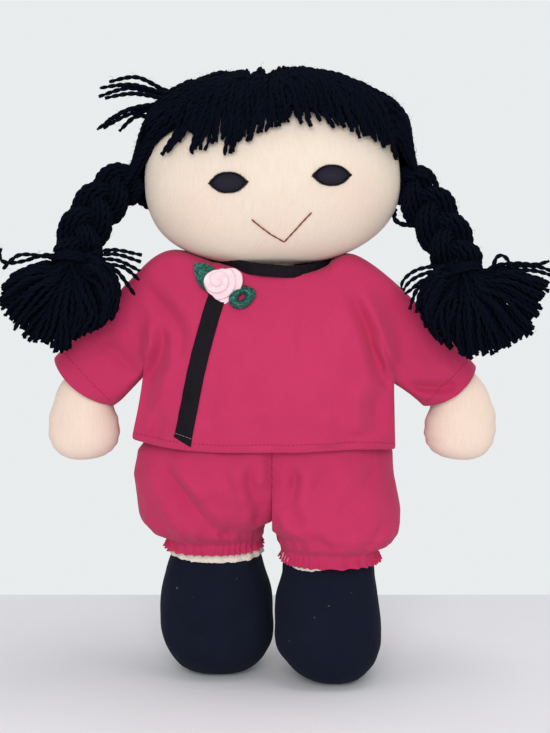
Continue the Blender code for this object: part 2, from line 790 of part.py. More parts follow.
def build_head(body):
    """The head is a flat oval cushion with a hollow for the neck's round end."""
    rings = []
    for level in range(1, head_levels):
        turn = math.pi * level / head_levels
        reach = math.sin(turn) ** (2 / head_power)
        tall = math.copysign(abs(math.cos(turn)) ** (2 / head_power), math.cos(turn))
        half_height = crown_height if tall >= 0 else chin_height
        wide, deep = head_half_width * reach, head_half_depth * reach
        ring = oval(up * half_height * tall, wide, deep, head_power, head_sides)
        rings.append([lean_head(point) for point in ring])
    made = bmesh.new()
    corners = [[made.verts.new(point) for point in row] for row in rings]
    for upper, lower in zip(corners, corners[1:]):
        for step in range(head_sides):
            after = (step + 1) % head_sides
            made.faces.new((upper[step], upper[after], lower[after], lower[step]))
    for ring, pole in ((corners[0], up * crown_height), (corners[-1], -up * chin_height)):
        end = made.verts.new(lean_head(pole))
        for step, corner in enumerate(ring):
            made.faces.new((corner, ring[(step + 1) % head_sides], end))
    head = place("head", tidy(made), muslin, body)
    ball = bmesh.new()
    bmesh.ops.create_uvsphere(ball, u_segments=24, v_segments=16, radius=neck_radius + gap)
    bmesh.ops.translate(ball, verts=ball.verts, vec=neck_spot)
    cut(head, cutter("neck_hollow", tidy(ball)))


def eye_outline(centre, half_width, half_height):
    """Points of a lens with a point at each end."""
    points = []
    for step in range(eye_sides):
        turn = 2 * math.pi * step / eye_sides
        wide = math.cos(turn)
        tall = math.copysign(1 - abs(wide) ** eye_power, math.sin(turn))
        points.append((centre[0] + half_width * wide, centre[1] + half_height * tall))
    return points


def build_eyes(body):
    """Each eye is a padded lens of satin stitch inside a ring of edge stitching."""
    for side, hand in sides.items():
        across = face_shift + hand * eye_spacing / 2
        rise = eye_rise - math.tan(face_turn) * hand * eye_spacing / 2
        inner = (eye_width / 2 - eye_edge_width, eye_height / 2 - eye_edge_width)
        rows = []
        for share in eye_ring_shares:
            lens = eye_outline((across, rise), (inner[0] - gap) * share, (inner[1] - gap) * share)
            rows.append([on_face(x, z, seat_gap) for x, z in lens])
        eye = place("eye_" + side, loft(rows, caps=False), eye_thread, body)
        fill_middle(eye.data)
        face_outwards(eye.data)
        thicken(eye, eye_thickness, outwards=True)
        rows = []
        for spread in (0, 1):
            reach = eye_edge_width * spread
            lens = eye_outline((across, rise), inner[0] + reach, inner[1] + reach)
            rows.append([on_face(x, z, seat_gap) for x, z in lens])
        edge = place("eye_edging_" + side, loft(rows, caps=False), edge_thread, body)
        face_outwards(edge.data)
        thicken(edge, eye_thickness, outwards=True)


def fill_middle(mesh):
    """Closes the small hole that is left in the middle of a sheet made of rings."""
    made = bmesh.new()
    made.from_mesh(mesh)
    edges = [edge for edge in made.edges if edge.is_boundary]
    middle = sum((edge.verts[0].co for edge in edges), Vector()) / len(edges)
    edges.sort(key=lambda edge: (edge.verts[0].co - middle).length)
    bmesh.ops.holes_fill(made, edges=edges[:len(edges) // 2], sides=0)
    bmesh.ops.recalc_face_normals(made, faces=made.faces)
    made.to_mesh(mesh)
    made.free()


def build_mouth(body):
    """The mouth is one line of thread with a point in the middle."""
    low = Vector((face_shift + (mouth_point_share - 0.5) * mouth_width, -mouth_drop))
    points = []
    for step in range(-mouth_steps, mouth_steps + 1):
        away = step / mouth_steps
        side_share = mouth_point_share if away < 0 else 1 - mouth_point_share
        across = low.x + away * side_share * mouth_width
        rise = low.y + mouth_height * abs(away) ** mouth_power - math.tan(face_turn) * (across - low.x)
        points.append(on_face(across, rise, seat_gap + mouth_thread / 2))
    place("mouth_stitching", tube(points, [mouth_thread / 2] * len(points), thread_sides), mouth_colour, body)


# Hair

def hair_depth(around, across):
    """How thick the yarn lies over the head: thin at the parting and at the edges."""
    share = abs(across) / (math.pi / 2)
    fill = smooth_step(share / parting_round_share)
    fill *= between(hair_front_share, 1, smooth_step((hairline_angle - around) / hair_front_angle))
    fill *= between(hair_back_share, 1, smooth_step((nape_angle + around) / hair_back_angle))
    return between(hair_edge_thickness, hair_thickness, fill)


def build_hair(side, hand, body):
    """Half of the hair runs from the parting down to the ear, from the hairline to the nape."""
    inner, outer = [], []
    for row in range(hair_rows + 1):
        around = between(hairline_angle, -nape_angle, row / hair_rows)
        inner.append([])
        outer.append([])
        for step in range(hair_columns + 1):
            start = (parting_width / 2 / head_half_width) ** (head_power / 2)
            across = hand * between(start, math.pi / 2 * ear_opening_share, step / hair_columns)
            inner[-1].append(on_head(around, across, hair_seat_gap))
            outer[-1].append(on_head(around, across, hair_seat_gap + hair_depth(around, across)))
    place("hair_" + side, slab(inner, outer), yarn, body)


def build_parting(body):
    """The yarns are sewn down along the parting with one line of thread."""
    radius = parting_thread / 2
    points = [on_head(between(hairline_angle, -nape_angle, step / parting_steps), 0, seat_gap + radius)
              for step in range(parting_steps + 1)]
    place("parting_stitching", tube(points, [radius] * len(points), thread_sides), edge_thread, body)


def build_fringe(body):
    """Short yarns hang from the hairline on to the forehead, with uneven ends."""
    inner, outer = [], []
    last = len(fringe_end_angles) - 1
    for level in fringe_level_shares:
        inner.append([])
        outer.append([])
        for step, end in enumerate(fringe_end_angles):
            reach = between(-1, 1, step / last) * fringe_reach_share
            across = math.copysign(math.asin(abs(reach) ** (head_power / 2)), reach)
            around = between(fringe_root_angle, end, level)
            inner[-1].append(on_head(around, across, seat_gap))
            thick = fringe_thickness * between(1, fringe_end_share, level)
            outer[-1].append(on_head(around, across, seat_gap + thick))
    place("fringe", slab(inner, outer), yarn, body)


def build_tuft(body):
    """A fan of yarn ends sticks out from the hair over the doll's right ear."""
    near, far = [], []
    last = 2 * tuft_strand_count
    for reach in (0, 0.5, 1):
        near.append([])
        far.append([])
        for step in range(last + 1):
            share = step / last
            across = -between(*tuft_root_angles, share)
            root = on_head(tuft_around_angle, across, hair_seat_gap + hair_thickness + gap)
            turn = between(*tuft_fan_angles, share)
            length = tuft_length * reach * (1 if step % 2 else tuft_notch_share)
            spot = root + Vector((-math.cos(turn), 0, math.sin(turn))) * length
            half = front * tuft_thickness / 2 * between(1, tuft_tip_share, reach)
            near[-1].append(spot + half)
            far[-1].append(spot - half)
    place("hair_tuft_right", slab(near, far), yarn, body)


def plait_route(hand):
    """The plait's ends at the ear and at its tie, and its directions along, sideways and forwards."""
    root = lean_head(Vector((hand * plait_root_across, 0, 0)))
    end = root + Vector((hand * plait_spread, -plait_forward, -plait_drop))
    along = (end - root).normalized()
    sideways = (right * hand - along * along.dot(right * hand)).normalized()
    forwards = along.cross(sideways)
    if forwards.dot(front) < 0:
        forwards.negate()
    return root, end, along, sideways, forwards


def build_plait(side, hand, body):
    """A fat plait, as a lumpy solid that sways from side to side as its three strands cross."""
    root, end, along, sideways, forwards = plait_route(hand)
    rings = []
    for turn in plait_cap_angles:
        reach = plait_root_radius * math.cos(turn)
        centre = root - along * plait_root_radius * math.sin(turn)
        rings.append(oval(centre, reach, reach, 2, plait_sides, sideways, forwards))
    steps = plait_lump_count * plait_steps_per_lump
    for step in range(steps + 1):
        share = step / steps
        phase = math.pi * plait_lump_count * share
        grown = smooth_step(share / plait_root_share)
        size = between(plait_root_radius, plait_radius, grown)
        size *= between(1, plait_neck_share, smooth_step((share - 1 + plait_tie_share) / plait_tie_share))
        size += plait_swell * abs(math.sin(phase)) * grown
        centre = root.lerp(end, share) + sideways * plait_sway * math.sin(phase) * grown
        rings.append(oval(centre, size, size * plait_depth_share, 2, plait_sides, sideways, forwards))
    place("plait_" + side, loft(rings), yarn, body)


def build_tie(side, hand, body):
    """The plait is tied off with a few turns of yarn."""
    _, end, along, sideways, forwards = plait_route(hand)
    centre = end + along * (tie_thickness / 2 + gap)
    reach = plait_radius * plait_neck_share
    rings = []
    for low, wide in tie_section_shares:
        level = centre + along * tie_thickness * low
        rings.append(oval(level, reach * wide, reach * wide, 2, plait_sides, sideways, forwards))
    place("plait_tie_" + side, loft(rings), yarn, body)


def build_tassel(side, hand, body):
    """Below the tie the yarns spread into a wide flat tassel with uneven ends."""
    _, end, along, sideways, forwards = plait_route(hand)
    start = end + along * (tie_thickness + 2 * gap)
    finish = start + Vector((hand * tassel_outward, -tassel_forward, -tassel_drop))
    rings = []
    last = len(tassel_section_shares) - 1
    for index, (level, wide, deep) in enumerate(tassel_section_shares):
        upright = smooth_step(level / tassel_turn_share)
        centre = start.lerp(finish, level)
        centre.y = between(start.y, finish.y, upright)
        across = sideways.lerp(right * hand, upright).normalized()
        outward = forwards.lerp(front, upright).normalized()
        ring = oval(centre, tassel_half_width * wide, tassel_half_depth * deep, tassel_power, tassel_sides,
                    across, outward)
        for step, point in enumerate(ring):
            point.z += tassel_ragged * (1 if step % 2 else -1) * max(index - last + 2, 0) / 2
        rings.append(ring)
    place("tassel_" + side, loft(rings), yarn, body)


# Assembly

empty_scene()
doll = new_collection("rag_doll")
cutters = new_collection("cutters")
neck_spot = up * neck_pivot_height
head_place = Matrix.Translation(Vector((0, -head_forward, head_height))) @ Matrix.Rotation(head_lean, 4, "Y")
jacket_tool = cutter("jacket_outside", loft(jacket_rows(gap)))

body_empty = joint_empty("body_root", Vector())
build_body(body_empty)
build_jacket(body_empty)
build_collar(body_empty)
build_placket(body_empty)
build_rose(body_empty)
build_leaves(body_empty)
build_waist_elastic(body_empty)

head_empty = joint_empty("neck_joint", neck_spot, body_empty)
build_head(head_empty)
build_eyes(head_empty)
build_mouth(head_empty)
build_parting(head_empty)
build_fringe(head_empty)
build_tuft(head_empty)

for side_name, hand_sign in sides.items():
    build_hair(side_name, hand_sign, head_empty)
    plait_empty = joint_empty("plait_joint_" + side_name, plait_route(hand_sign)[0], head_empty)
    build_plait(side_name, hand_sign, plait_empty)
    build_tie(side_name, hand_sign, plait_empty)
    build_tassel(side_name, hand_sign, plait_empty)

    shoulder_spot = Vector((hand_sign * shoulder_across, 0, shoulder_height))
    arm_empty = joint_empty("shoulder_joint_" + side_name, shoulder_spot, body_empty)
    build_arm(side_name, hand_sign, arm_empty)
    build_sleeve(side_name, hand_sign, arm_empty)

    hip_spot = Vector((hand_sign * hip_across, 0, hip_height))
    leg_empty = joint_empty("hip_joint_" + side_name, hip_spot, body_empty)
    build_leg(side_name, hand_sign, leg_empty)
    build_boot(side_name, hand_sign, leg_empty)
    build_bloomers(side_name, hand_sign, leg_empty)
    build_elastics(side_name, hand_sign, leg_empty)

# The middle of the doll's footprint is put over the origin.
bpy.context.view_layer.update()
view = bpy.context.evaluated_depsgraph_get()
finished = [thing.evaluated_get(view) for thing in doll.objects if thing.type == "MESH"]
corners = [thing.matrix_world @ Vector(corner) for thing in finished for corner in thing.bound_box]
for axis in (0, 1):
    spread = [corner[axis] for corner in corners]
    for thing in [body_empty] + list(cutters.objects):
        thing.location[axis] = -(min(spread) + max(spread)) / 2
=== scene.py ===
"""Dresses the rag doll's frame in its cloth, yarn, ribbon and stitching, and lights it.

Metres, +Z up. The doll faces -Y, and its own left side is towards +X.
"""

import math
import random

import bmesh
import bpy
import numpy
from mathutils import Matrix, Vector, noise
from mathutils.bvhtree import BVHTree


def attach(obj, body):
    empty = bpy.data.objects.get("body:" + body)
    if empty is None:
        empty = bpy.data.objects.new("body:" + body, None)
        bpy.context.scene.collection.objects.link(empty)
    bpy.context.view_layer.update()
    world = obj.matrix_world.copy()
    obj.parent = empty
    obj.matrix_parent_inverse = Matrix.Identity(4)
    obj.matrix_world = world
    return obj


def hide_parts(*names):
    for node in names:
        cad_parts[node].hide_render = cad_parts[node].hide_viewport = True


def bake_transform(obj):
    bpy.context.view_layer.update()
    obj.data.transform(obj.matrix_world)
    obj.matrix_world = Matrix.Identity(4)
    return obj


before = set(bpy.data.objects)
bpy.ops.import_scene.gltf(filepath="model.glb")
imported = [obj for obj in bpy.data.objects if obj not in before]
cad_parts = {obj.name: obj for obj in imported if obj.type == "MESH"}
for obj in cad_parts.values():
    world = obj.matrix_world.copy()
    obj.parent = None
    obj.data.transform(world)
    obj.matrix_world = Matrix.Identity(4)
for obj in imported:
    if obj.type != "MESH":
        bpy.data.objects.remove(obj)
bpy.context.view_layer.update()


# The body is a flat bag of unbleached muslin, stuffed with polyester and sewn shut at the neck.
# It carries everything else, and hardly shows between the head and the collar.

middle_y = 0.0014               # the side seams, between front and back
body_sections = (               # height, half width, half depth
    (0.1076, 0.0353, 0.0030), (0.1135, 0.0431, 0.0125), (0.1253, 0.0475, 0.0244),
    (0.1430, 0.0490, 0.0316), (0.1666, 0.0466, 0.0340), (0.1863, 0.0421, 0.0350),
    (0.2001, 0.0415, 0.0272), (0.2060, 0.0343, 0.0211), (0.2130, 0.0150, 0.0150),
    (0.2215, 0.0140, 0.0140), (0.2262, 0.0090, 0.0090), (0.2272, 0.0030, 0.0030))


def within(share):
    """A share, kept between 0 and 1."""
    return min(max(share, 0), 1)


def ease(share):
    """Turns a share from 0 to 1 into one that starts and ends gently."""
    share = within(share)
    return share * share * (3 - 2 * share)


def mixed(low, high, share):
    """The value a share of the way from low to high."""
    return low + (high - low) * share


def along_rows(rows, share):
    """A smooth run through rows of numbers, at a share of the way from the first row to the last."""
    spot = within(share) * (len(rows) - 1)
    first = min(int(spot), len(rows) - 2)
    part = spot - first
    before, start = rows[max(first - 1, 0)], rows[first]
    end, after = rows[first + 1], rows[min(first + 2, len(rows) - 1)]
    run = []
    for a, b, c, d in zip(before, start, end, after):
        bend = 2 * a - 5 * b + 4 * c - d + part * (3 * (b - c) + d - a)
        run.append(b + 0.5 * part * (c - a + part * bend))
    return run


def squarer(value, power):
    """A sine or cosine of a circle, made that of a squarer oval. A power of 2 leaves it as it is."""
    return math.copysign(abs(value) ** (2 / power), value)


def on_oval(turn, power):
    """A point of an oval of half width and half depth 1. A power of 2 is a circle, and more is squarer."""
    return squarer(math.cos(turn), power), squarer(math.sin(turn), power)


def lumps(point, reach, depth, seed=0):
    """How far the stuffing pushes the cloth out at a point: reach is the size of its lumps."""
    return noise.noise(Vector(point) / reach + Vector((seed * 7.3, seed * 3.1, seed * 5.7))) * depth


def lay_cloth(columns, rows, place):
    """A grid of cloth, put in place by the shares across and along it, which stay as its UV map."""
    made = bmesh.new()
    bmesh.ops.create_grid(made, x_segments=columns, y_segments=rows, size=0.5)
    chart = made.loops.layers.uv.new("cloth")
    for face in made.faces:
        for loop in face.loops:
            loop[chart].uv = (loop.vert.co.x + 0.5, loop.vert.co.y + 0.5)
    for vert in made.verts:
        vert.co = place(vert.co.x + 0.5, vert.co.y + 0.5)
    return made


def sew(made, reach=0.00004):
    """Joins edges of cloth that lie together, closes open ends and turns the faces outwards."""
    bmesh.ops.remove_doubles(made, verts=made.verts, dist=reach)
    bmesh.ops.recalc_face_normals(made, faces=made.faces)
    return made


def sew_shut(made):
    """Sews a bag's edges together and closes the small holes at its ends."""
    sew(made)
    bmesh.ops.holes_fill(made, edges=[edge for edge in made.edges if edge.is_boundary], sides=0)
    bmesh.ops.recalc_face_normals(made, faces=made.faces)
    return made


def coat(mesh, finish):
    """Gives a mesh its one material."""
    mesh.materials.clear()
    mesh.materials.append(finish)


def piece_of(name, made, finish, rounds=0, thickness=0):
    """Makes a named piece from a finished mesh, with its subdivision and the cloth's thickness."""
    mesh = bpy.data.meshes.new(name)
    if isinstance(made, bmesh.types.BMesh):
        made.to_mesh(mesh)
        made.free()
    else:
        mesh = made
    mesh.shade_smooth()
    coat(mesh, finish)
    thing = bpy.data.objects.new(name, mesh)
    bpy.context.scene.collection.objects.link(thing)
    if rounds:
        change = thing.modifiers.new("rounding", "SUBSURF")
        change.levels = change.render_levels = rounds
    if thickness:
        change = thing.modifiers.new("thickness", "SOLIDIFY")
        change.thickness = thickness
        change.offset = -1
        change.use_even_offset = False
    return thing


def add_node(tree, kind, inputs=None, **settings):
    """Adds a shader node, with its settings and with values or other sockets on its inputs."""
    node = tree.nodes.new("ShaderNode" + kind)
    for name, value in settings.items():
        setattr(node, name, value)
    for name, value in (inputs or {}).items():
        if isinstance(value, bpy.types.NodeSocket):
            tree.links.new(value, node.inputs[name])
        else:
            node.inputs[name].default_value = value
    return node


def arithmetic(tree, operation, *values):
    """A Math node on plain numbers and sockets."""
    return add_node(tree, "Math", dict(enumerate(values)), operation=operation).outputs[0]


def ribs_along(tree, place, rate):
    """A height that rises and falls in even ribs along a place."""
    return arithmetic(tree, "SINE", arithmetic(tree, "MULTIPLY", place, rate))


def blend_colours(tree, share, first, second, kind="MIX"):
    """A Mix node for two colours."""
    node = add_node(tree, "Mix", data_type="RGBA", blend_type=kind)
    for socket, value in ((node.inputs[0], share), (node.inputs[6], first), (node.inputs[7], second)):
        if isinstance(value, bpy.types.NodeSocket):
            tree.links.new(value, socket)
        else:
            socket.default_value = value
    return node.outputs[2]


def new_group(name, inputs, outputs):
    """An empty shader node group with number, vector or colour sockets, and its two end nodes."""
    tree = bpy.data.node_groups.new(name, "ShaderNodeTree")
    for label, kind, value in inputs:
        socket = tree.interface.new_socket(label, in_out="INPUT", socket_type="NodeSocket" + kind)
        if value is not None:
            socket.default_value = value
    for label, kind in outputs:
        tree.interface.new_socket(label, in_out="OUTPUT", socket_type="NodeSocket" + kind)
    return tree, tree.nodes.new("NodeGroupInput").outputs, tree.nodes.new("NodeGroupOutput").inputs


def plain_weave():
    """Threads over and under each other, with thicker threads here and there, from a place on the doll."""
    tree, given, result = new_group(
        "plain weave",
        [("Place", "Vector", None), ("Threads", "Float", 2200.0), ("Slub size", "Float", 260.0),
         ("Upright", "Float", 0.75)],
        [("Height", "Float"), ("Slub", "Float"), ("Mottle", "Float")])
    axes = add_node(tree, "SeparateXYZ", {"Vector": given["Place"]}).outputs
    across = arithmetic(tree, "MULTIPLY_ADD", axes["Y"], 0.8, axes["X"])
    crossing = arithmetic(tree, "MULTIPLY", ribs_along(tree, across, given["Threads"]),
                          ribs_along(tree, axes["Z"], given["Threads"]))
    slub_scale = arithmetic(tree, "MULTIPLY", given["Slub size"], 8)
    slubs = []
    for wide, tall in ((1, 0.05), (0.05, 1)):
        spot = add_node(tree, "CombineXYZ", {"X": arithmetic(tree, "MULTIPLY", across, wide),
                                             "Z": arithmetic(tree, "MULTIPLY", axes["Z"], tall)}).outputs[0]
        slubs.append(add_node(tree, "TexNoise", {"Vector": spot, "Scale": slub_scale, "Detail": 2.0,
                                                 "Roughness": 0.6}).outputs["Fac"])
    slub = add_node(tree, "Mix", {0: given["Upright"], 2: slubs[1], 3: slubs[0]}, data_type="FLOAT")
    mottle = add_node(tree, "TexNoise", {"Vector": given["Place"], "Scale": 42.0, "Detail": 3.0})
    height = arithmetic(tree, "MULTIPLY_ADD", crossing, 0.22, slub.outputs[0])
    for label, socket in (("Height", height), ("Slub", slub.outputs[0]), ("Mottle", mottle.outputs["Fac"])):
        tree.links.new(socket, result[label])
    return tree


weave_group = plain_weave()


def new_finish(name, roughness, sheen=0.0, sheen_tint=(1, 1, 1, 1), specular=0.5):
    """A material with its Principled shader, whose even values are set on its own sockets."""
    finish = bpy.data.materials.new(name)
    finish.use_nodes = True
    shader = finish.node_tree.nodes["Principled BSDF"]
    shader.inputs["Roughness"].default_value = roughness
    shader.inputs["Specular IOR Level"].default_value = specular
    shader.inputs["Sheen Weight"].default_value = sheen
    shader.inputs["Sheen Roughness"].default_value = 0.5
    shader.inputs["Sheen Tint"].default_value = sheen_tint
    return finish, finish.node_tree, shader


def raise_surface(tree, shader, height, strength, distance):
    """Feeds a height into the shader's normal."""
    bump = add_node(tree, "Bump", {"Height": height, "Strength": strength, "Distance": distance})
    tree.links.new(bump.outputs[0], shader.inputs["Normal"])


def object_place(tree):
    """The place on the doll, which a finish is laid out by."""
    return add_node(tree, "TexCoord").outputs["Object"]


def weave(tree, **settings):
    """The woven cloth's group of nodes, at the place on the doll."""
    return add_node(tree, "Group", {"Place": object_place(tree), **settings}, node_tree=weave_group).outputs


def muslin_finish(name, light, dark, blushes=()):
    """Unbleached muslin: upright threads, soft mottling, and a warm tint round places on the face."""
    finish, tree, shader = new_finish(name, 0.92, sheen=0.12, specular=0.2)
    cloth = weave(tree)
    colour = blend_colours(tree, cloth["Mottle"], dark, light)
    for spot, reach, tint, most in blushes:
        away = add_node(tree, "VectorMath", {0: object_place(tree), 1: spot}, operation="DISTANCE")
        near = add_node(tree, "MapRange", {"Value": away.outputs["Value"], "From Min": reach,
                                           "From Max": reach * 0.15, "To Max": most},
                        interpolation_type="SMOOTHSTEP")
        colour = blend_colours(tree, near.outputs[0], colour, tint)
    streaks = add_node(tree, "MapRange", {"Value": cloth["Slub"], "From Min": 0.3, "From Max": 0.7,
                                          "To Min": 0.93, "To Max": 1.05}).outputs[0]
    greys = add_node(tree, "CombineColor", {"Red": streaks, "Green": streaks, "Blue": streaks}).outputs[0]
    tree.links.new(blend_colours(tree, 1.0, colour, greys, "MULTIPLY"), shader.inputs["Base Color"])
    raise_surface(tree, shader, cloth["Height"], 0.35, 0.00025)
    return finish


plain_muslin = muslin_finish("muslin", (0.82, 0.68, 0.575, 1), (0.74, 0.60, 0.50, 1))


def bag_place(sections, power):
    """Places the cloth of an upright bag, by rows of height, half width, half depth and maybe a centre."""
    def place(around, along):
        height, wide, deep, *centre = along_rows(sections, along)
        x, y = centre or (0, middle_y)
        turned = on_oval(2 * math.pi * around, power)
        return Vector((x + wide * turned[0], y - deep * turned[1], height))
    return place


body_bag = piece_of("muslin_body", sew_shut(lay_cloth(64, 60, bag_place(body_sections, 2.3))), plain_muslin)
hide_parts("body")
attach(body_bag, "body")


# The legs are muslin bags, sewn flat at the hip and hidden by the bloomers down to the boots.
# Their raw lower edge is a ragged cream strip that shows over the boots.

both_sides = (("right", -1), ("left", 1))       # the doll's own sides, and where they lie along X
hip_across = 0.0306
stride = 0.0080                 # the doll's left foot forwards, its right foot back
strip_height = 0.0672
leg_sections = (                # height, half width, half depth, share of the stride
    (0.1070, 0.0150, 0.0006, 0.00), (0.1060, 0.0157, 0.0026, 0.00), (0.1002, 0.0174, 0.0071, 0.03),
    (0.0927, 0.0196, 0.0138, 0.22), (0.0833, 0.0217, 0.0190, 0.57), (0.0738, 0.0215, 0.0212, 0.90),
    (0.0663, 0.0212, 0.0218, 1.00))

strip_columns = 160
# The turn where the strip hangs lowest in front, how widely it does, and by how much.
strip_hang = {
    "right": (1.45, 0.85, 0.0014), "left": (2.0, 0.35, 0.0022)}


def grain(tree, scale, detail=2):
    """A random grain of a scale over the doll, from 0 to 1."""
    inputs = {"Vector": object_place(tree), "Scale": scale, "Detail": detail}
    return add_node(tree, "TexNoise", inputs).outputs["Fac"]


def colour_with(tree, shader, share, first, second):
    """Colours the shader from the first colour to the second by a share."""
    tree.links.new(blend_colours(tree, share, first, second), shader.inputs["Base Color"])


strip_finish, tree, shader = new_finish("cream_cotton", 0.95, sheen=0.2)
threads = grain(tree, 900, 3)
colour_with(tree, shader, threads, (0.60, 0.50, 0.38, 1), (0.93, 0.88, 0.78, 1))
raise_surface(tree, shader, threads, 0.6, 0.0006)

for side, hand in both_sides:
    sections = [(height, wide, deep, hand * hip_across, middle_y - hand * stride * step)
                for height, wide, deep, step in leg_sections]
    leg_cloth = sew_shut(lay_cloth(48, 32, bag_place(sections, 2.1)))
    leg_bag = piece_of("muslin_leg_" + side, leg_cloth, plain_muslin)
    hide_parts("leg_" + side)
    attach(leg_bag, "leg_" + side)

    ragged = random.Random(31 + hand)
    tears = [ragged.uniform(-1, 1) for _ in range(strip_columns)]

    def strip_place(around, along):
        turn = 2 * math.pi * around
        wide, deep = on_oval(turn, 2.4)
        tear = tears[int(around * (strip_columns - 0.1))]
        towards, reach, drop = strip_hang[side]
        low = drop * math.exp(-((turn - towards) / reach) ** 4)
        height = mixed(strip_height - 0.0006 - low, strip_height + 0.0043, along)
        height += tear * 0.0003 * (1 - along)
        # The raw edge flares and puckers, and lies flat on the leg at its top.
        stand = mixed(0.0012, 0, along) + 0.0004 * math.sin(turn * 17) + 0.0005 * (1 - along)
        return Vector((hand * hip_across + (0.0243 + stand) * wide,
                       middle_y - hand * stride - (0.0233 + stand) * deep, height))

    strip_cloth = sew(lay_cloth(strip_columns, 4, strip_place))
    strip = piece_of("ragged_strip_" + side, strip_cloth, strip_finish, thickness=0.0005)
    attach(strip, "leg_" + side)


# The boots are stuffed bags of blue-black brushed cotton, sewn up the front and back.
# The cloth is drawn in a little at the top, and the round sole is flat where it stands.

# Height, half depth and centre forwards, then half width and centre outwards: right boot, left boot.
boot_sections = (
    (0.0668, 0.0208, 0.0000, (0.0222, 0.0000), (0.0222, 0.0000)),
    (0.0662, 0.0226, 0.0000, (0.0240, 0.0000), (0.0240, 0.0000)),
    (0.0640, 0.0231, 0.0001, (0.0247, 0.0000), (0.0246, 0.0000)),
    (0.0560, 0.0236, 0.0002, (0.0271, 0.0006), (0.0255, 0.0000)),
    (0.0440, 0.0247, 0.0008, (0.0301, 0.0003), (0.0276, -0.0007)),
    (0.0320, 0.0257, 0.0020, (0.0311, 0.0002), (0.0287, -0.0008)),
    (0.0200, 0.0261, 0.0033, (0.0304, -0.0009), (0.0281, -0.0005)),
    (0.0120, 0.0241, 0.0039, (0.0271, -0.0008), (0.0241, 0.0006)),
    (0.0066, 0.0206, 0.0041, (0.0230, -0.0008), (0.0194, 0.0012)),
    (0.0032, 0.0164, 0.0041, (0.0187, -0.0008), (0.0154, 0.0023)),
    (0.0012, 0.0124, 0.0041, (0.0147, -0.0008), (0.0116, 0.0029)),
    (0.0002, 0.0090, 0.0041, (0.0107, -0.0008), (0.0084, 0.0031)),
    (0.0000, 0.0052, 0.0041, (0.0062, -0.0008), (0.0050, 0.0031)),
    (0.0000, 0.0006, 0.0041, (0.0006, -0.0008), (0.0006, 0.0031)))

boot_finish, tree, shader = new_finish("blue_black_cotton", 0.95, sheen=0.03,
                                       sheen_tint=(0.45, 0.52, 0.75, 1), specular=0.08)
nap, wear, lint = grain(tree, 1500, 3), grain(tree, 60, 4), grain(tree, 420, 1)
specks = add_node(tree, "MapRange", {"Value": lint, "From Min": 0.79, "From Max": 0.82}).outputs[0]
colour = blend_colours(tree, wear, (0.0050, 0.0063, 0.0148, 1), (0.0085, 0.0103, 0.0222, 1))
colour_with(tree, shader, arithmetic(tree, "MULTIPLY", specks, 0.25), colour, (0.30, 0.29, 0.29, 1))
raise_surface(tree, shader, nap, 0.5, 0.0003)

for side, hand in both_sides:
    # The left boot is a little slimmer and turns out, so its inner side draws in towards the sole.
    sections = []
    for height, deep, ahead, right, left in boot_sections:
        wide, out = left if side == "left" else right
        sections.append((height, wide, deep, hand * (hip_across + out), middle_y - hand * stride - ahead))
    upright = bag_place(sections, 2.5)

    def boot_place(around, along):
        spot = upright(around, along)
        middle = Vector((hand * hip_across, middle_y - hand * stride, spot.z))
        outward = (spot - middle).normalized()
        turn = 2 * math.pi * around
        top = ease((spot.z - 0.046) / 0.020)
        low = ease((spot.z - 0.001) / 0.006)
        # A seam runs down the front and the back, and the cloth puckers at the top and bulges in places.
        seam = 0.0007 * math.exp(-(math.cos(turn) / 0.030) ** 2)
        pucker = 0.00030 * math.sin(turn * 15 + 2 * noise.noise(spot * 60)) * top
        bulge = lumps(spot, 0.020, 0.0012, hand + 2) + lumps(spot, 0.008, 0.0003, hand + 5)
        return spot + outward * (pucker + bulge - seam) * low

    boot = piece_of("boot_cloth_" + side, sew_shut(lay_cloth(96, 72, boot_place)), boot_finish)
    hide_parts("boot_" + side)
    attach(boot, "leg_" + side)


# Arm and mitten hand are one muslin bag, sewn on at the shoulder, with the seam round its edge.
# The hand hangs out of the sleeve, fuller than the arm, and its round end turns in a little.

shoulder_across, shoulder_height = 0.0540, 0.2010
arm_finish = muslin_finish("muslin_arm", (0.880, 0.705, 0.590, 1), (0.820, 0.635, 0.525, 1))
arm_sections = (                # across and down from the shoulder, lean, half width, half depth
    (-0.0080, -0.0080, 0.72, 0.0010, 0.0010), (-0.0078, -0.0079, 0.72, 0.0040, 0.0040),
    (-0.0072, -0.0074, 0.72, 0.0070, 0.0070), (-0.0050, -0.0052, 0.72, 0.0100, 0.0100),
    (-0.0020, -0.0020, 0.72, 0.0116, 0.0116), (0.0066, 0.0057, 0.72, 0.0120, 0.0120),
    (0.0160, 0.0164, 0.75, 0.0121, 0.0120), (0.0282, 0.0287, 0.82, 0.0122, 0.0120),
    (0.0395, 0.0385, 0.94, 0.0127, 0.0121), (0.0456, 0.0467, 1.16, 0.0150, 0.0126),
    (0.0475, 0.0566, 1.45, 0.0181, 0.0133), (0.0475, 0.0640, 1.57, 0.0191, 0.0135),
    (0.0472, 0.0705, 1.60, 0.0186, 0.0131), (0.0468, 0.0758, 1.62, 0.0165, 0.0117),
    (0.0465, 0.0795, 1.64, 0.0128, 0.0092), (0.0463, 0.0816, 1.65, 0.0080, 0.0060),
    (0.0462, 0.0824, 1.65, 0.0030, 0.0024), (0.0462, 0.0825, 1.65, 0.0006, 0.0005))

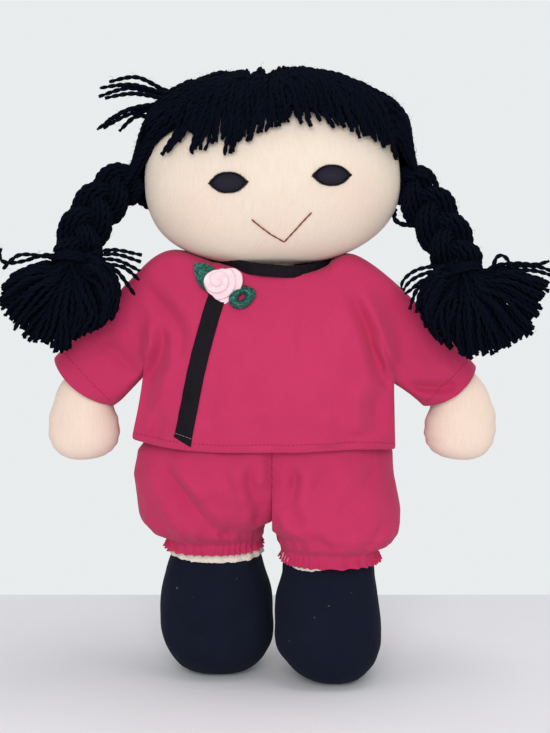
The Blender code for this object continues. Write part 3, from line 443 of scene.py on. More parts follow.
for side, hand in both_sides:
    def arm_place(around, along):
        across, down, lean, wide, deep = along_rows(arm_sections, along)
        centre = Vector((hand * (shoulder_across + across), middle_y, shoulder_height - down))
        edge = Vector((hand * math.sin(lean), 0, math.cos(lean)))
        turn = 2 * math.pi * around
        turned = on_oval(turn, 2.1)
        spot = centre + edge * wide * turned[0] + Vector((0, -deep * turned[1], 0))
        outward = (edge * turned[0] + Vector((0, -turned[1], 0))).normalized()
        # The seam runs round the edge of the hand, where the cloth puckers between the stitches.
        on_hand = ease((down - 0.040) / 0.012)
        seam = math.exp(-(math.sin(turn) / 0.10) ** 2)
        pucker = seam * (0.0005 + 0.00022 * math.sin(along * 170 + 4 * noise.noise(spot * 90))) * on_hand
        creases = math.sin(along * 95 + 3 * noise.noise(spot * 80))
        folds = 0.00025 * on_hand * math.exp(-(math.sin(turn) / 0.45) ** 2) * creases
        bulge = lumps(spot, 0.020, 0.0007, 4 + hand) * on_hand
        return spot + outward * (bulge + folds - pucker)

    arm_bag = piece_of("arm_cloth_" + side, sew_shut(lay_cloth(96, 110, arm_place)), arm_finish)
    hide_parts("arm_" + side)
    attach(arm_bag, "arm_" + side)


# The head is a wide flat muslin cushion, stuffed hard, whose lower edge overhangs the collar.
# The cheeks and the mouth carry a faint warm tint.

head_half_width, head_half_depth = 0.0670, 0.0390
crown_height, chin_height = 0.0520, 0.0430
head_power = 2.35
head_height, head_lean = 0.2665, math.radians(-2)
head_ahead = 0.0050             # how far its middle lies in front of the body's
head_place = (Matrix.Translation((0, middle_y - head_ahead, head_height))
              @ Matrix.Rotation(head_lean, 4, "Y"))


def on_head(around, across, extra=0):
    """A point over the head: around from the crown to the face, and across from the parting to an ear."""
    half_width, half_depth = head_half_width + extra, head_half_depth + extra
    half_height = (crown_height if math.cos(around) >= 0 else chin_height) + extra
    ring = abs(math.cos(across)) ** (2 / head_power)
    wide = squarer(math.sin(across), head_power)
    tall, deep = on_oval(around, head_power)
    return head_place @ Vector((half_width * wide, -half_depth * ring * deep, half_height * ring * tall))


def on_face(across, rise, extra):
    """The point of the face at a place across and a rise over the widest line, moved out by extra."""
    half_height = crown_height if rise >= 0 else chin_height
    bulge = 1 - abs(across / head_half_width) ** head_power - abs(rise / half_height) ** head_power
    return head_place @ Vector((across, -head_half_depth * max(bulge, 0) ** (1 / head_power) - extra, rise))


blush = (0.86, 0.50, 0.44, 1)
face_finish = muslin_finish("muslin_face", (0.785, 0.670, 0.555, 1), (0.745, 0.622, 0.512, 1), (
    (on_face(-0.036, -0.014, 0), 0.026, blush, 0.16), (on_face(0.042, -0.012, 0), 0.026, blush, 0.16),
    (on_face(0.004, -0.022, 0), 0.022, blush, 0.12)))

ball = bmesh.new()
bmesh.ops.create_uvsphere(ball, u_segments=112, v_segments=72, radius=1)
for vert in ball.verts:
    turn = math.acos(max(min(vert.co.z, 1), -1))
    wide, deep = on_oval(math.atan2(vert.co.y, vert.co.x), head_power)
    reach = math.sin(turn) ** (2 / head_power)
    tall = squarer(math.cos(turn), head_power)
    half_height = crown_height if tall >= 0 else chin_height
    spot = Vector((head_half_width * reach * wide, head_half_depth * reach * deep, half_height * tall))
    outward = Vector((spot.x / head_half_width, spot.y / head_half_depth, spot.z / crown_height))
    outward.normalize()
    vert.co = head_place @ (spot + outward * lumps(spot, 0.030, 0.0008, 9))
bmesh.ops.recalc_face_normals(ball, faces=ball.faces)
head_bag = piece_of("head_cloth", ball, face_finish)
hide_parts("head")
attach(head_bag, "head")


# The eyes are embroidered: a padded lens of level satin stitches in dark violet thread.
# A line of slanting black stitches runs round each, with a whisker of thread at its corners.

face_turn = math.tan(head_lean)
face_shift = 0.0042             # how far the face sits towards the doll's left
eye_spacing = 0.0520
eye_half_width, eye_half_height = 0.0092, 0.0048
eye_power = 2.6
eye_stitches = 52
satin_pitch = 0.00042           # from one satin stitch to the next


def object_axes(tree):
    """The place on the doll, as its single X, Y and Z."""
    return add_node(tree, "SeparateXYZ", {"Vector": object_place(tree)}).outputs


satin_finish, tree, shader = new_finish("violet_satin_stitch", 0.50, specular=0.20)
wander = arithmetic(tree, "MULTIPLY", grain(tree, 500), 3.0)
level = arithmetic(tree, "MULTIPLY_ADD", object_axes(tree)["Z"], 2 * math.pi / satin_pitch, wander)
rows = arithmetic(tree, "SINE", level)
# The colour follows the stitch rows: lighter on each row's crown and darker between rows, a painted
# highlight and painted shade that go with the rows' bump.
colour_with(tree, shader, arithmetic(tree, "MULTIPLY_ADD", rows, 0.5, 0.5),
            (0.008, 0.0072, 0.0155, 1), (0.027, 0.0255, 0.047, 1))
raise_surface(tree, shader, rows, 0.8, 0.0002)


def thread_finish(name, scale, dark, light, roughness, rise, specular=0.5):
    """Sewing thread, from dark to light between its fibres, which rise by a strength and a distance."""
    finish, tree, shader = new_finish(name, roughness, specular=specular)
    fibres = grain(tree, scale)
    colour_with(tree, shader, fibres, dark, light)
    raise_surface(tree, shader, fibres, *rise)
    return finish


black_thread = thread_finish("black_thread", 2500, (0.0015, 0.0013, 0.0015, 1), (0.007, 0.005, 0.005, 1),
                             0.7, (0.5, 0.0002), specular=0.15)


class Skein:
    """Threads and yarns laid as curves, which become one mesh."""

    def __init__(self, name, sides=0):
        self.curve = bpy.data.curves.new(name, "CURVE")
        self.curve.dimensions = "3D"
        self.curve.bevel_depth = 0.001
        self.curve.bevel_resolution = sides
        self.curve.use_fill_caps = True

    def lay(self, points, radii, closed=False):
        """Lays one round thread through points, with a radius in metres at each."""
        run = self.curve.splines.new("POLY")
        run.points.add(len(points) - 1)
        run.points.foreach_set("co", [value for point in points for value in (*point, 1)])
        run.points.foreach_set("radius", [radius * 1000 for radius in radii])
        run.use_cyclic_u = closed

    def made_up(self, name, finish):
        """Turns the skein into a piece."""
        laid = bpy.data.objects.new(name + "_laid", self.curve)
        bpy.context.scene.collection.objects.link(laid)
        bpy.context.view_layer.update()
        view = bpy.context.evaluated_depsgraph_get()
        mesh = bpy.data.meshes.new_from_object(laid.evaluated_get(view))
        bpy.data.objects.remove(laid)
        return piece_of(name, mesh, finish)


def on_lens(turn):
    """A point of the outline of an eye of half width and half height 1."""
    wide = math.cos(turn)
    return wide, math.copysign(1 - abs(wide) ** eye_power, math.sin(turn))


for side, hand in both_sides:
    across = face_shift + hand * eye_spacing / 2
    rise = 0.0010 - face_turn * hand * eye_spacing / 2

    def eye_place(around, along):
        wide, tall = on_lens(2 * math.pi * around)
        pad = 0.0003 + 0.0007 * (1 - along ** 3)
        return on_face(across + eye_half_width * wide * along, rise + eye_half_height * tall * along, pad)

    eye_cloth = sew(lay_cloth(64, 14, eye_place), 0.00001)
    eye = piece_of("eye_stitching_" + side, eye_cloth, satin_finish, thickness=0.0003)
    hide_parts("eye_" + side)
    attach(eye, "head")

    edging = Skein("edging_" + side, 1)
    wobble = random.Random(17 + hand)

    def edge_spot(turn, reach, extra):
        wide, tall = on_lens(turn)
        return on_face(across + eye_half_width * reach * wide,
                       rise + (eye_half_height * reach + 0.0001) * tall, extra)

    ring = [edge_spot(2 * math.pi * step / 96, 1.0, 0.0006) for step in range(96)]
    edging.lay(ring, [0.00036] * len(ring), closed=True)
    for step in range(eye_stitches):
        turn = 2 * math.pi * step / eye_stitches
        inner, outer = turn - 0.6 * math.pi / eye_stitches, turn + 0.9 * math.pi / eye_stitches
        far = 1.09 + wobble.uniform(-0.02, 0.05)
        edging.lay([edge_spot(inner, 0.90, 0.0007), edge_spot(turn, 1.0, 0.0012),
                    edge_spot(outer, far, 0.0003)], [0.00022, 0.00034, 0.00017])
    for corner in (-1, 1):
        start = (across + corner * eye_half_width * 0.98, rise)
        tip = (across + corner * (eye_half_width + 0.0010), rise + 0.0003 * corner)
        edging.lay([on_face(*start, 0.0007), on_face(*tip, 0.0002)], [0.00040, 0.00014])
    edge = edging.made_up("eye_edge_stitches_" + side, black_thread)
    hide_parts("eye_edging_" + side)
    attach(edge, "head")


# The mouth is back-stitched in one strand of reddish brown thread, in two nearly straight runs.
# Each stitch dips into the cloth at its ends, and the two runs meet in a small loop at the bottom.

mouth_finish = thread_finish("reddish_brown_thread", 3000, (0.11, 0.020, 0.016, 1), (0.28, 0.055, 0.042, 1),
                             0.7, (0.4, 0.0002))
mouth_points = ((-0.0108, -0.0187), (-0.0066, -0.0224), (-0.0014, -0.0266), (0.0052, -0.0306),
                (0.0100, -0.0258), (0.0148, -0.0208), (0.0194, -0.0163))
mouth = Skein("mouth", 1)
for start, end in zip(mouth_points, mouth_points[1:]):
    for part in range(2):       # two stitches from each point to the next
        points, radii = [], []
        for step in range(6):
            share = (part + step / 5) / 2
            lift = math.sin(math.pi * step / 5)
            across, rise = mixed(start[0], end[0], share), mixed(start[1], end[1], share)
            points.append(on_face(across, rise, 0.0001 + 0.0004 * lift))
            radii.append(0.00030 + 0.00013 * lift)
        mouth.lay(points, radii)
mouth = mouth.made_up("mouth_stitches", mouth_finish)
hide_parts("mouth_stitching")
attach(mouth, "head")


# The hair is black worsted yarn, twisted from two plies. Yarns are laid side by side from the
# centre parting to each ear in two layers, and sewn down along the parting with one line of thread.

yarn_radius = 0.00145
yarn_twist = 0.0085             # length of one turn of the two plies
yarn_step = 0.0012              # length between two points along most yarns

yarn_finish, tree, shader = new_finish("black_worsted_yarn", 0.95, specular=0.03)
fibres, patches = grain(tree, 1800), grain(tree, 90)
colour = blend_colours(tree, fibres, (0.0010, 0.0017, 0.0048, 1), (0.0034, 0.0050, 0.0112, 1))
colour_with(tree, shader, arithmetic(tree, "MULTIPLY", patches, 0.4), colour, (0.0048, 0.0064, 0.0130, 1))
raise_surface(tree, shader, fibres, 0.6, 0.0004)


def even_path(controls, step):
    """Points at even steps along a smooth path through control points."""
    fine = len(controls) * 8
    rough = [Vector(along_rows(controls, share / fine)) for share in range(fine + 1)]
    lengths = [0]
    for before, after in zip(rough, rough[1:]):
        lengths.append(lengths[-1] + (after - before).length)
    count = max(round(lengths[-1] / step), 3)
    path, part = [], 0
    for index in range(count + 1):
        target = lengths[-1] * index / count
        while part < len(rough) - 2 and lengths[part + 1] < target:
            part += 1
        span = max(lengths[part + 1] - lengths[part], 1e-9)
        path.append(rough[part].lerp(rough[part + 1], min((target - lengths[part]) / span, 1)))
    return path


def lay_yarn(skein, controls, chance, radius=yarn_radius, step=0.0013, end_share=1.0, fluff=0):
    """Lays a yarn as two plies that twist round each other, with loose fibres standing off it."""
    path = even_path(controls, step)
    start = chance.uniform(0, 2 * math.pi)
    side = None
    plies, radii = ([], []), []
    last = len(path) - 1
    for index, point in enumerate(path):
        ahead = (path[min(index + 1, last)] - path[max(index - 1, 0)]).normalized()
        side = (side - ahead * side.dot(ahead)).normalized() if side else ahead.orthogonal().normalized()
        beside = ahead.cross(side)
        turn = start + 2 * math.pi * index * step / yarn_twist
        thick = radius * mixed(1, end_share, ease(index / last * 4 - 3))
        for ply, shift in zip(plies, (0, math.pi)):
            off = side * math.cos(turn + shift) + beside * math.sin(turn + shift)
            ply.append(point + off * radius * 0.38)
        radii.append(thick * 0.64)
        if fluff and chance.random() < fluff:
            away = chance.uniform(0, 2 * math.pi)
            outward = side * math.cos(away) + beside * math.sin(away)
            root = point + outward * radius * 0.8
            bend = root + outward * chance.uniform(0.0006, 0.0014) + ahead * chance.uniform(-0.001, 0.001)
            tip = bend + outward * chance.uniform(0.0002, 0.0014) + ahead * chance.uniform(-0.0025, 0.0025)
            skein.lay([root, bend, tip], [0.00006, 0.00005, 0.00003])
    for ply in plies:
        skein.lay(ply, radii)


ear_across = 0.0795             # from the middle of the head to the root of a plait
hair_front, hair_back = math.radians(52), math.radians(-146)


def plait_frame(hand):
    """Where a plait starts, and its directions along, sideways and forwards."""
    root = head_place @ Vector((hand * ear_across, 0, 0))
    along = Vector((hand * 0.0190, -0.0200, -0.0400)).normalized()
    sideways = (Vector((hand, 0, 0)) - along * along.x * hand).normalized()
    forwards = along.cross(sideways)
    return root, along, sideways, forwards if forwards.y < 0 else -forwards


def nape_rise(around, part):
    """How far a yarn low on the back of the head turns up towards the ear."""
    return 0.40 * ease((-1.6 - around) / 0.9) * ease((part - 0.40) / 0.5)


hair_layers = (                 # yarns on each side, and how far they stand off the head: least, most
    (44, 0.0016, 0.0036), (52, 0.0030, 0.0074))

for side, hand in both_sides:
    chance = random.Random(101 + hand)
    skein = Skein("hair_" + side)
    root, along, sideways, forwards = plait_frame(hand)
    for layer, (count, low, high) in enumerate(hair_layers):
        for index in range(count):
            share = (index + chance.uniform(0.2, 0.8)) / count
            around = mixed(hair_front, hair_back, share)
            drift = chance.uniform(-0.13, 0.13)
            thin = 0.5 + 0.5 * ease((hair_front - around) / 0.5) * ease((around - hair_back) / 0.4)
            controls = []
            for step in range(11):
                part = step / 10
                across = hand * mixed(0.006, 1.16, part ** 0.9)
                full = ease(abs(across) / 0.30)
                round_off = 0.0026 * math.exp(-((part - 0.70) / 0.28) ** 2) * thin
                lift = mixed(low * 0.35, high * thin * mixed(1, 0.62, part), full) + round_off
                lift += chance.uniform(-0.0008, 0.0008)
                if side == "left":      # the yarns on this side stand further off above the ear
                    lift += 0.0046 * ease((part - 0.55) / 0.45) * max(math.cos(around), 0)
                turn = around + drift * math.sin(math.pi * part) + nape_rise(around, part)
                controls.append(on_head(turn + chance.uniform(-0.012, 0.012), across, lift))
            # The yarns gather at the ear into the root of the plait.
            gather = (math.cos(around) * 0.6 * Vector((0, 0, 1)) - math.sin(around) * Vector((0, 1, 0)))
            reach = mixed(0.004, 0.0095, layer)
            controls.append(root - Vector((hand * 0.0040, 0, 0)) + gather * reach)
            controls.append(root + along * 0.004 + gather * reach * 0.85)
            thick = yarn_radius * chance.uniform(0.92, 1.1)
            lay_yarn(skein, controls, chance, radius=thick, fluff=0.10 + 0.22 * layer)
    hair = skein.made_up("hair_yarns_" + side, yarn_finish)
    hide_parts("hair_" + side)
    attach(hair, "head")

    # A thin felt of crossing yarns lies under them, so that no muslin shows between two yarns.
    def felt_place(around, along):
        turn = mixed(hair_front - 0.02, hair_back + 0.02, along)
        turn += nape_rise(turn, around)
        across = hand * mixed(0.004, 1.26, around)
        ridge = 0.0004 * math.sin(turn * 52) + 0.0003 * noise.noise(Vector((turn * 9, across * 4, hand)))
        return on_head(turn, across, 0.0012 + ridge)

    felt_cloth = sew(lay_cloth(40, 150, felt_place))
    felt = piece_of("hair_felt_" + side, felt_cloth, yarn_finish, thickness=0.0004)
    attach(felt, "head")

coat(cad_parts["parting_stitching"].data, black_thread)


# The fringe is a row of yarns sewn under the front of the hair, cut to uneven lengths.
# They lie down the forehead in two layers, and their ends stand off it and fray a little.

fringe_ends = (                 # across, and the height where most yarns end
    (-0.0645, 0.2850), (-0.0620, 0.2852), (-0.0560, 0.2915), (-0.0480, 0.2915), (-0.0397, 0.2906),
    (-0.0316, 0.2860), (-0.0234, 0.2874), (-0.0153, 0.2856), (-0.0087, 0.2905), (-0.0005, 0.2937),
    (0.0092, 0.2955), (0.0112, 0.2960), (0.0234, 0.2950), (0.0321, 0.2928), (0.0408, 0.2912),
    (0.0458, 0.2890), (0.0525, 0.2862), (0.0580, 0.2830), (0.0619, 0.2770), (0.0650, 0.2715))
fringe_locks = (                # tips of the longer locks, and how far each slants outwards at its end
    (-0.0617, 0.2842, 0.002), (-0.0560, 0.2868, 0.003), (-0.0515, 0.2784, 0.008),
    (-0.0495, 0.2800, 0.008), (-0.0440, 0.2850, 0.004), (-0.0380, 0.2787, 0.003),
    (-0.0346, 0.2798, 0.002), (-0.0312, 0.2787, 0.002), (-0.0265, 0.2830, 0.001),
    (-0.0218, 0.2785, 0.001), (-0.0183, 0.2792, 0.001), (-0.0135, 0.2840, 0.002),
    (-0.0095, 0.2834, 0.005), (-0.0055, 0.2880, 0.004), (-0.0020, 0.2875, 0.002),
    (0.0020, 0.2896, 0.001), (0.0065, 0.2925, 0.000), (0.0100, 0.2930, 0.000),
    (0.0148, 0.2910, 0.002), (0.0182, 0.2900, 0.001), (0.0234, 0.2925, 0.002),
    (0.0270, 0.2925, 0.003), (0.0312, 0.2896, 0.007), (0.0345, 0.2900, 0.006),
    (0.0385, 0.2890, 0.000), (0.0433, 0.2865, 0.001), (0.0492, 0.2866, 0.002),
    (0.0550, 0.2825, 0.002), (0.0600, 0.2780, 0.001))
fringe_layers = (               # yarns, how much higher some of them end, and how far they stand off
    (44, 0.0000, 0.0000), (40, 0.0020, 0.0008), (34, 0.0080, 0.0018))
middle_yarns = 18


def read_off(rows, place, softness=0):
    """The value at a place, read off rows of a place and its value. Softness rounds the steps between."""
    for (low, start), (high, end) in zip(rows, rows[1:]):
        if place <= high:
            break
    part = within((place - low) / (high - low))
    return mixed(start, end, mixed(part, ease(part), softness))


def lay_fringe_yarn(skein, tip, height, root_turn, lift, slant, chance):
    """Lays a yarn from the crown down over the brow to its tip, at a place across and a height."""
    across = math.asin(min(abs(tip) / head_half_width, 0.96) ** (head_power / 2))
    ring = math.cos(across) ** (2 / head_power)
    rise = max(height - head_height + tip * math.sin(head_lean), 0.001)
    tip_turn = math.acos(min(rise / (crown_height * ring), 0.999) ** (head_power / 2))
    root_across = 0.020 + across * chance.uniform(0.12, 0.46)
    controls = []
    for step in range(9):
        part = step / 8
        turn = mixed(root_turn, tip_turn, part ** 1.35)
        bent = mixed(root_across, across, part ** 0.72) + chance.uniform(-0.012, 0.012)
        # A yarn that reaches down the brow lies closer to it at its end than a short one.
        if tip_turn > 0.7:
            rest = mixed(0.0080, 0.0030, ease((turn - 0.60) / 0.65))
        else:
            rest = mixed(0.0080, 0.0055, part)
        rest += lift * mixed(0.5, 1, part) + chance.uniform(-0.0004, 0.0004)
        rest += 0.0016 * ease((abs(bent) - 0.25) / 0.4) * (1 - part)
        aside = 2 * slant * ease((part - 0.35) / 0.35) * (1 - part)
        spot = on_head(turn, math.copysign(bent, tip), rest)
        controls.append(spot - Vector((math.copysign(aside, tip), 0, 0)))
    lay_yarn(skein, controls, chance, radius=yarn_radius * chance.uniform(0.85, 1.02), step=yarn_step,
             end_share=0.75, fluff=0.22)


chance = random.Random(7)
skein = Skein("fringe")
for count, shorter, lift in fringe_layers:
    for index in range(count):
        tip = mixed(-0.0615, 0.0615, (index + chance.uniform(0.0, 1.0)) / count)
        height = read_off(fringe_ends, tip) + chance.uniform(-0.0022, 0.0030) + shorter * chance.random()
        lay_fringe_yarn(skein, tip, height, chance.uniform(0.34, 0.66), lift, 0, chance)
# Yarns in the middle close the parting again below a small notch at the top.
for index in range(middle_yarns):
    tip = mixed(-0.0100, 0.0110, (index + chance.uniform(0.2, 0.8)) / middle_yarns)
    height = read_off(fringe_ends, tip) + chance.uniform(-0.0030, 0.0040)
    start = chance.uniform(-0.0035, 0.0035)
    lift = mixed(0.0046, 0.0062, index % 3 / 2)
    low = math.acos(min((height - head_height) / crown_height, 0.999) ** (head_power / 2))
    controls = []
    for step in range(8):
        part = step / 7
        turn = mixed(chance.uniform(0.30, 0.42) if step == 0 else 0.36, low, part ** 1.2)
        aside = mixed(start, tip, part ** 0.8) + chance.uniform(-0.0005, 0.0005)
        controls.append(on_head(turn, 0.001, mixed(lift, 0.0040, part)) + Vector((aside, 0, 0)))
    lay_yarn(skein, controls, chance, radius=yarn_radius * 0.95, step=yarn_step, end_share=0.75, fluff=0.2)
# Longer locks of one or two yarns stand out below the rest.
for tip, height, slant in fringe_locks:
    for index in range(chance.choice((1, 2, 2))):
        near = tip + chance.uniform(-0.0010, 0.0010)
        end = height + chance.uniform(-0.0003, 0.0022)
        lay_fringe_yarn(skein, near, end, chance.uniform(0.45, 0.70), 0.0006 + 0.0008 * index, slant,
                        chance)
fringe = skein.made_up("fringe_yarns", yarn_finish)
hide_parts("fringe")
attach(fringe, "head")


# A few yarn ends have worked loose over the doll's right ear and stand out sideways in a fan.
# Two more stand up at the front end of the parting.

skein = Skein("tuft", 1)
chance = random.Random(23)
for tip_x, tip_z, root_x, root_z in (
        (-0.0850, 0.3190, -0.056, 0.3150), (-0.0895, 0.3155, -0.057, 0.3135),
        (-0.0903, 0.3112, -0.058, 0.3120), (-0.0862, 0.3098, -0.058, 0.3105),
        (-0.0915, 0.2942, -0.061, 0.3060), (-0.0882, 0.2950, -0.062, 0.3045),
        (-0.0850, 0.2995, -0.061, 0.3075), (-0.0800, 0.2935, -0.063, 0.3010)):
    depth = chance.uniform(-0.014, 0.0)
    middle = ((tip_x + root_x) / 2, depth - 0.004, (tip_z + root_z) / 2 + chance.uniform(0.0015, 0.0045))
    points = [(root_x + 0.008, depth, root_z), (root_x, depth, root_z), middle,
              (tip_x, depth - 0.004, tip_z)]
    lay_yarn(skein, points, chance, radius=yarn_radius * 0.9, step=0.0011, end_share=0.6, fluff=0.3)
for lean in (-1, 1):
    start = on_head(0.62, lean * 0.05, 0.003)
    middle = start + Vector((lean * 0.003, -0.003, 0.006))
    points = [start, start.lerp(middle, 0.5), middle, middle + Vector((lean * 0.006, -0.002, 0.0))]
    lay_yarn(skein, points, chance, radius=yarn_radius * 0.7, step=0.0011, end_share=0.6, fluff=0.3)
tuft = skein.made_up("loose_yarn_ends", yarn_finish)
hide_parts("hair_tuft_right")
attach(tuft, "head")


# Each plait is worked from three fat strands of yarn, out from the ear and down.
# It is tied off with a few turns of yarn, below which the yarns spread into a flat tassel.

plait_lines = {                 # the middle of each plait, from the ear to its tie
    "right": ((-0.0705, -0.0030, 0.2700), (-0.0800, -0.0050, 0.2655), (-0.0885, -0.0108, 0.2568),
              (-0.0949, -0.0182, 0.2465), (-0.0994, -0.0252, 0.2350), (-0.1012, -0.0295, 0.2265)),
    "left": ((0.0664, -0.0030, 0.2715), (0.0735, -0.0050, 0.2650), (0.0805, -0.0104, 0.2560),
             (0.0865, -0.0172, 0.2456), (0.0909, -0.0230, 0.2360), (0.0944, -0.0272, 0.2290),
             (0.0965, -0.0306, 0.2208))}
plait_step = 0.0010
braid_cycle = 0.0520            # length in which a strand crosses over and comes back
strand_sway, strand_weave = 0.0070, 0.0040
strand_radius, strand_yarns = 0.0064, 11
tie_radius, tie_turns = 0.0097, 4
tassel_yarns, tassel_filling = 160, 30          # yarns fanned out, and those that fill the middle

loose_yarns = {                 # steps across and up from the tie
    "right": (((0.010, 0.0045), (0.022, 0.0066), (0.036, 0.0040)),
              ((0.010, 0.0030), (0.022, 0.0045), (0.0355, 0.0006)),
              ((0.011, 0.0015), (0.023, 0.0015), (0.0350, -0.0040)),
              ((0.011, 0.0000), (0.022, -0.0030), (0.0322, -0.0160)),
              ((0.012, 0.0000), (0.026, -0.0020), (0.0345, -0.0085)),
              ((-0.012, 0.0040), (-0.024, 0.0010), (-0.0310, 0.0000), (-0.0355, 0.0020),
               (-0.0350, 0.0075)),
              ((-0.012, 0.0030), (-0.026, 0.0040), (-0.0340, -0.0030))),
    "left": (((-0.012, 0.0036), (-0.0205, 0.0031), (-0.0267, 0.0005), (-0.0308, -0.0036),
              (-0.0314, -0.0070)),
             ((-0.012, 0.0016), (-0.0205, 0.0000), (-0.0270, -0.0035), (-0.0306, -0.0080)),
             ((-0.012, -0.0004), (-0.0210, -0.0035), (-0.0256, -0.0070), (-0.0296, -0.0097)),
             ((-0.012, -0.0010), (-0.0225, -0.0070), (-0.0254, -0.0123), (-0.0272, -0.0176)),
             ((-0.011, -0.0015), (-0.0195, -0.0062), (-0.0226, -0.0118), (-0.0238, -0.0192)),
             ((-0.010, -0.0020), (-0.0180, -0.0074), (-0.0214, -0.0130), (-0.0222, -0.0165)),
             ((0.0113, 0.0015), (0.0150, 0.0042), (0.0164, 0.0082), (0.0195, 0.0096),
              (0.0225, 0.0066), (0.0240, 0.0030)),
             ((0.0123, 0.0020), (0.018, 0.0048), (0.028, 0.0056), (0.036, 0.0050), (0.0428, 0.0068)),
             ((0.0130, 0.0005), (0.023, 0.0036), (0.036, 0.0041), (0.0440, 0.0018)),
             ((0.0130, 0.0000), (0.024, 0.0020), (0.036, 0.0018), (0.0450, -0.0008)))}

# Degrees below level, from the outer side round to the inner side, and how far the tassel reaches there.
tassel_reach = {
    "right": ((10, 0.0300), (20, 0.0370), (29, 0.0418), (40, 0.0430), (48, 0.0438), (58, 0.0468),
              (66, 0.0438), (74, 0.0430), (81, 0.0470), (89, 0.0428), (94, 0.0380), (103, 0.0358),
              (114, 0.0355), (123, 0.0345), (132, 0.0325), (142, 0.0278), (158, 0.0225)),
    "left": ((4, 0.0430), (10, 0.0450), (23, 0.0436), (35, 0.0454), (45, 0.0456), (50, 0.0458),
             (58, 0.0438), (66, 0.0434), (71, 0.0440), (77, 0.0422), (86, 0.0428), (93, 0.0402),
             (100, 0.0374), (107, 0.0364), (115, 0.0346), (123, 0.0320), (132, 0.0280), (144, 0.0238),
             (156, 0.0200))}

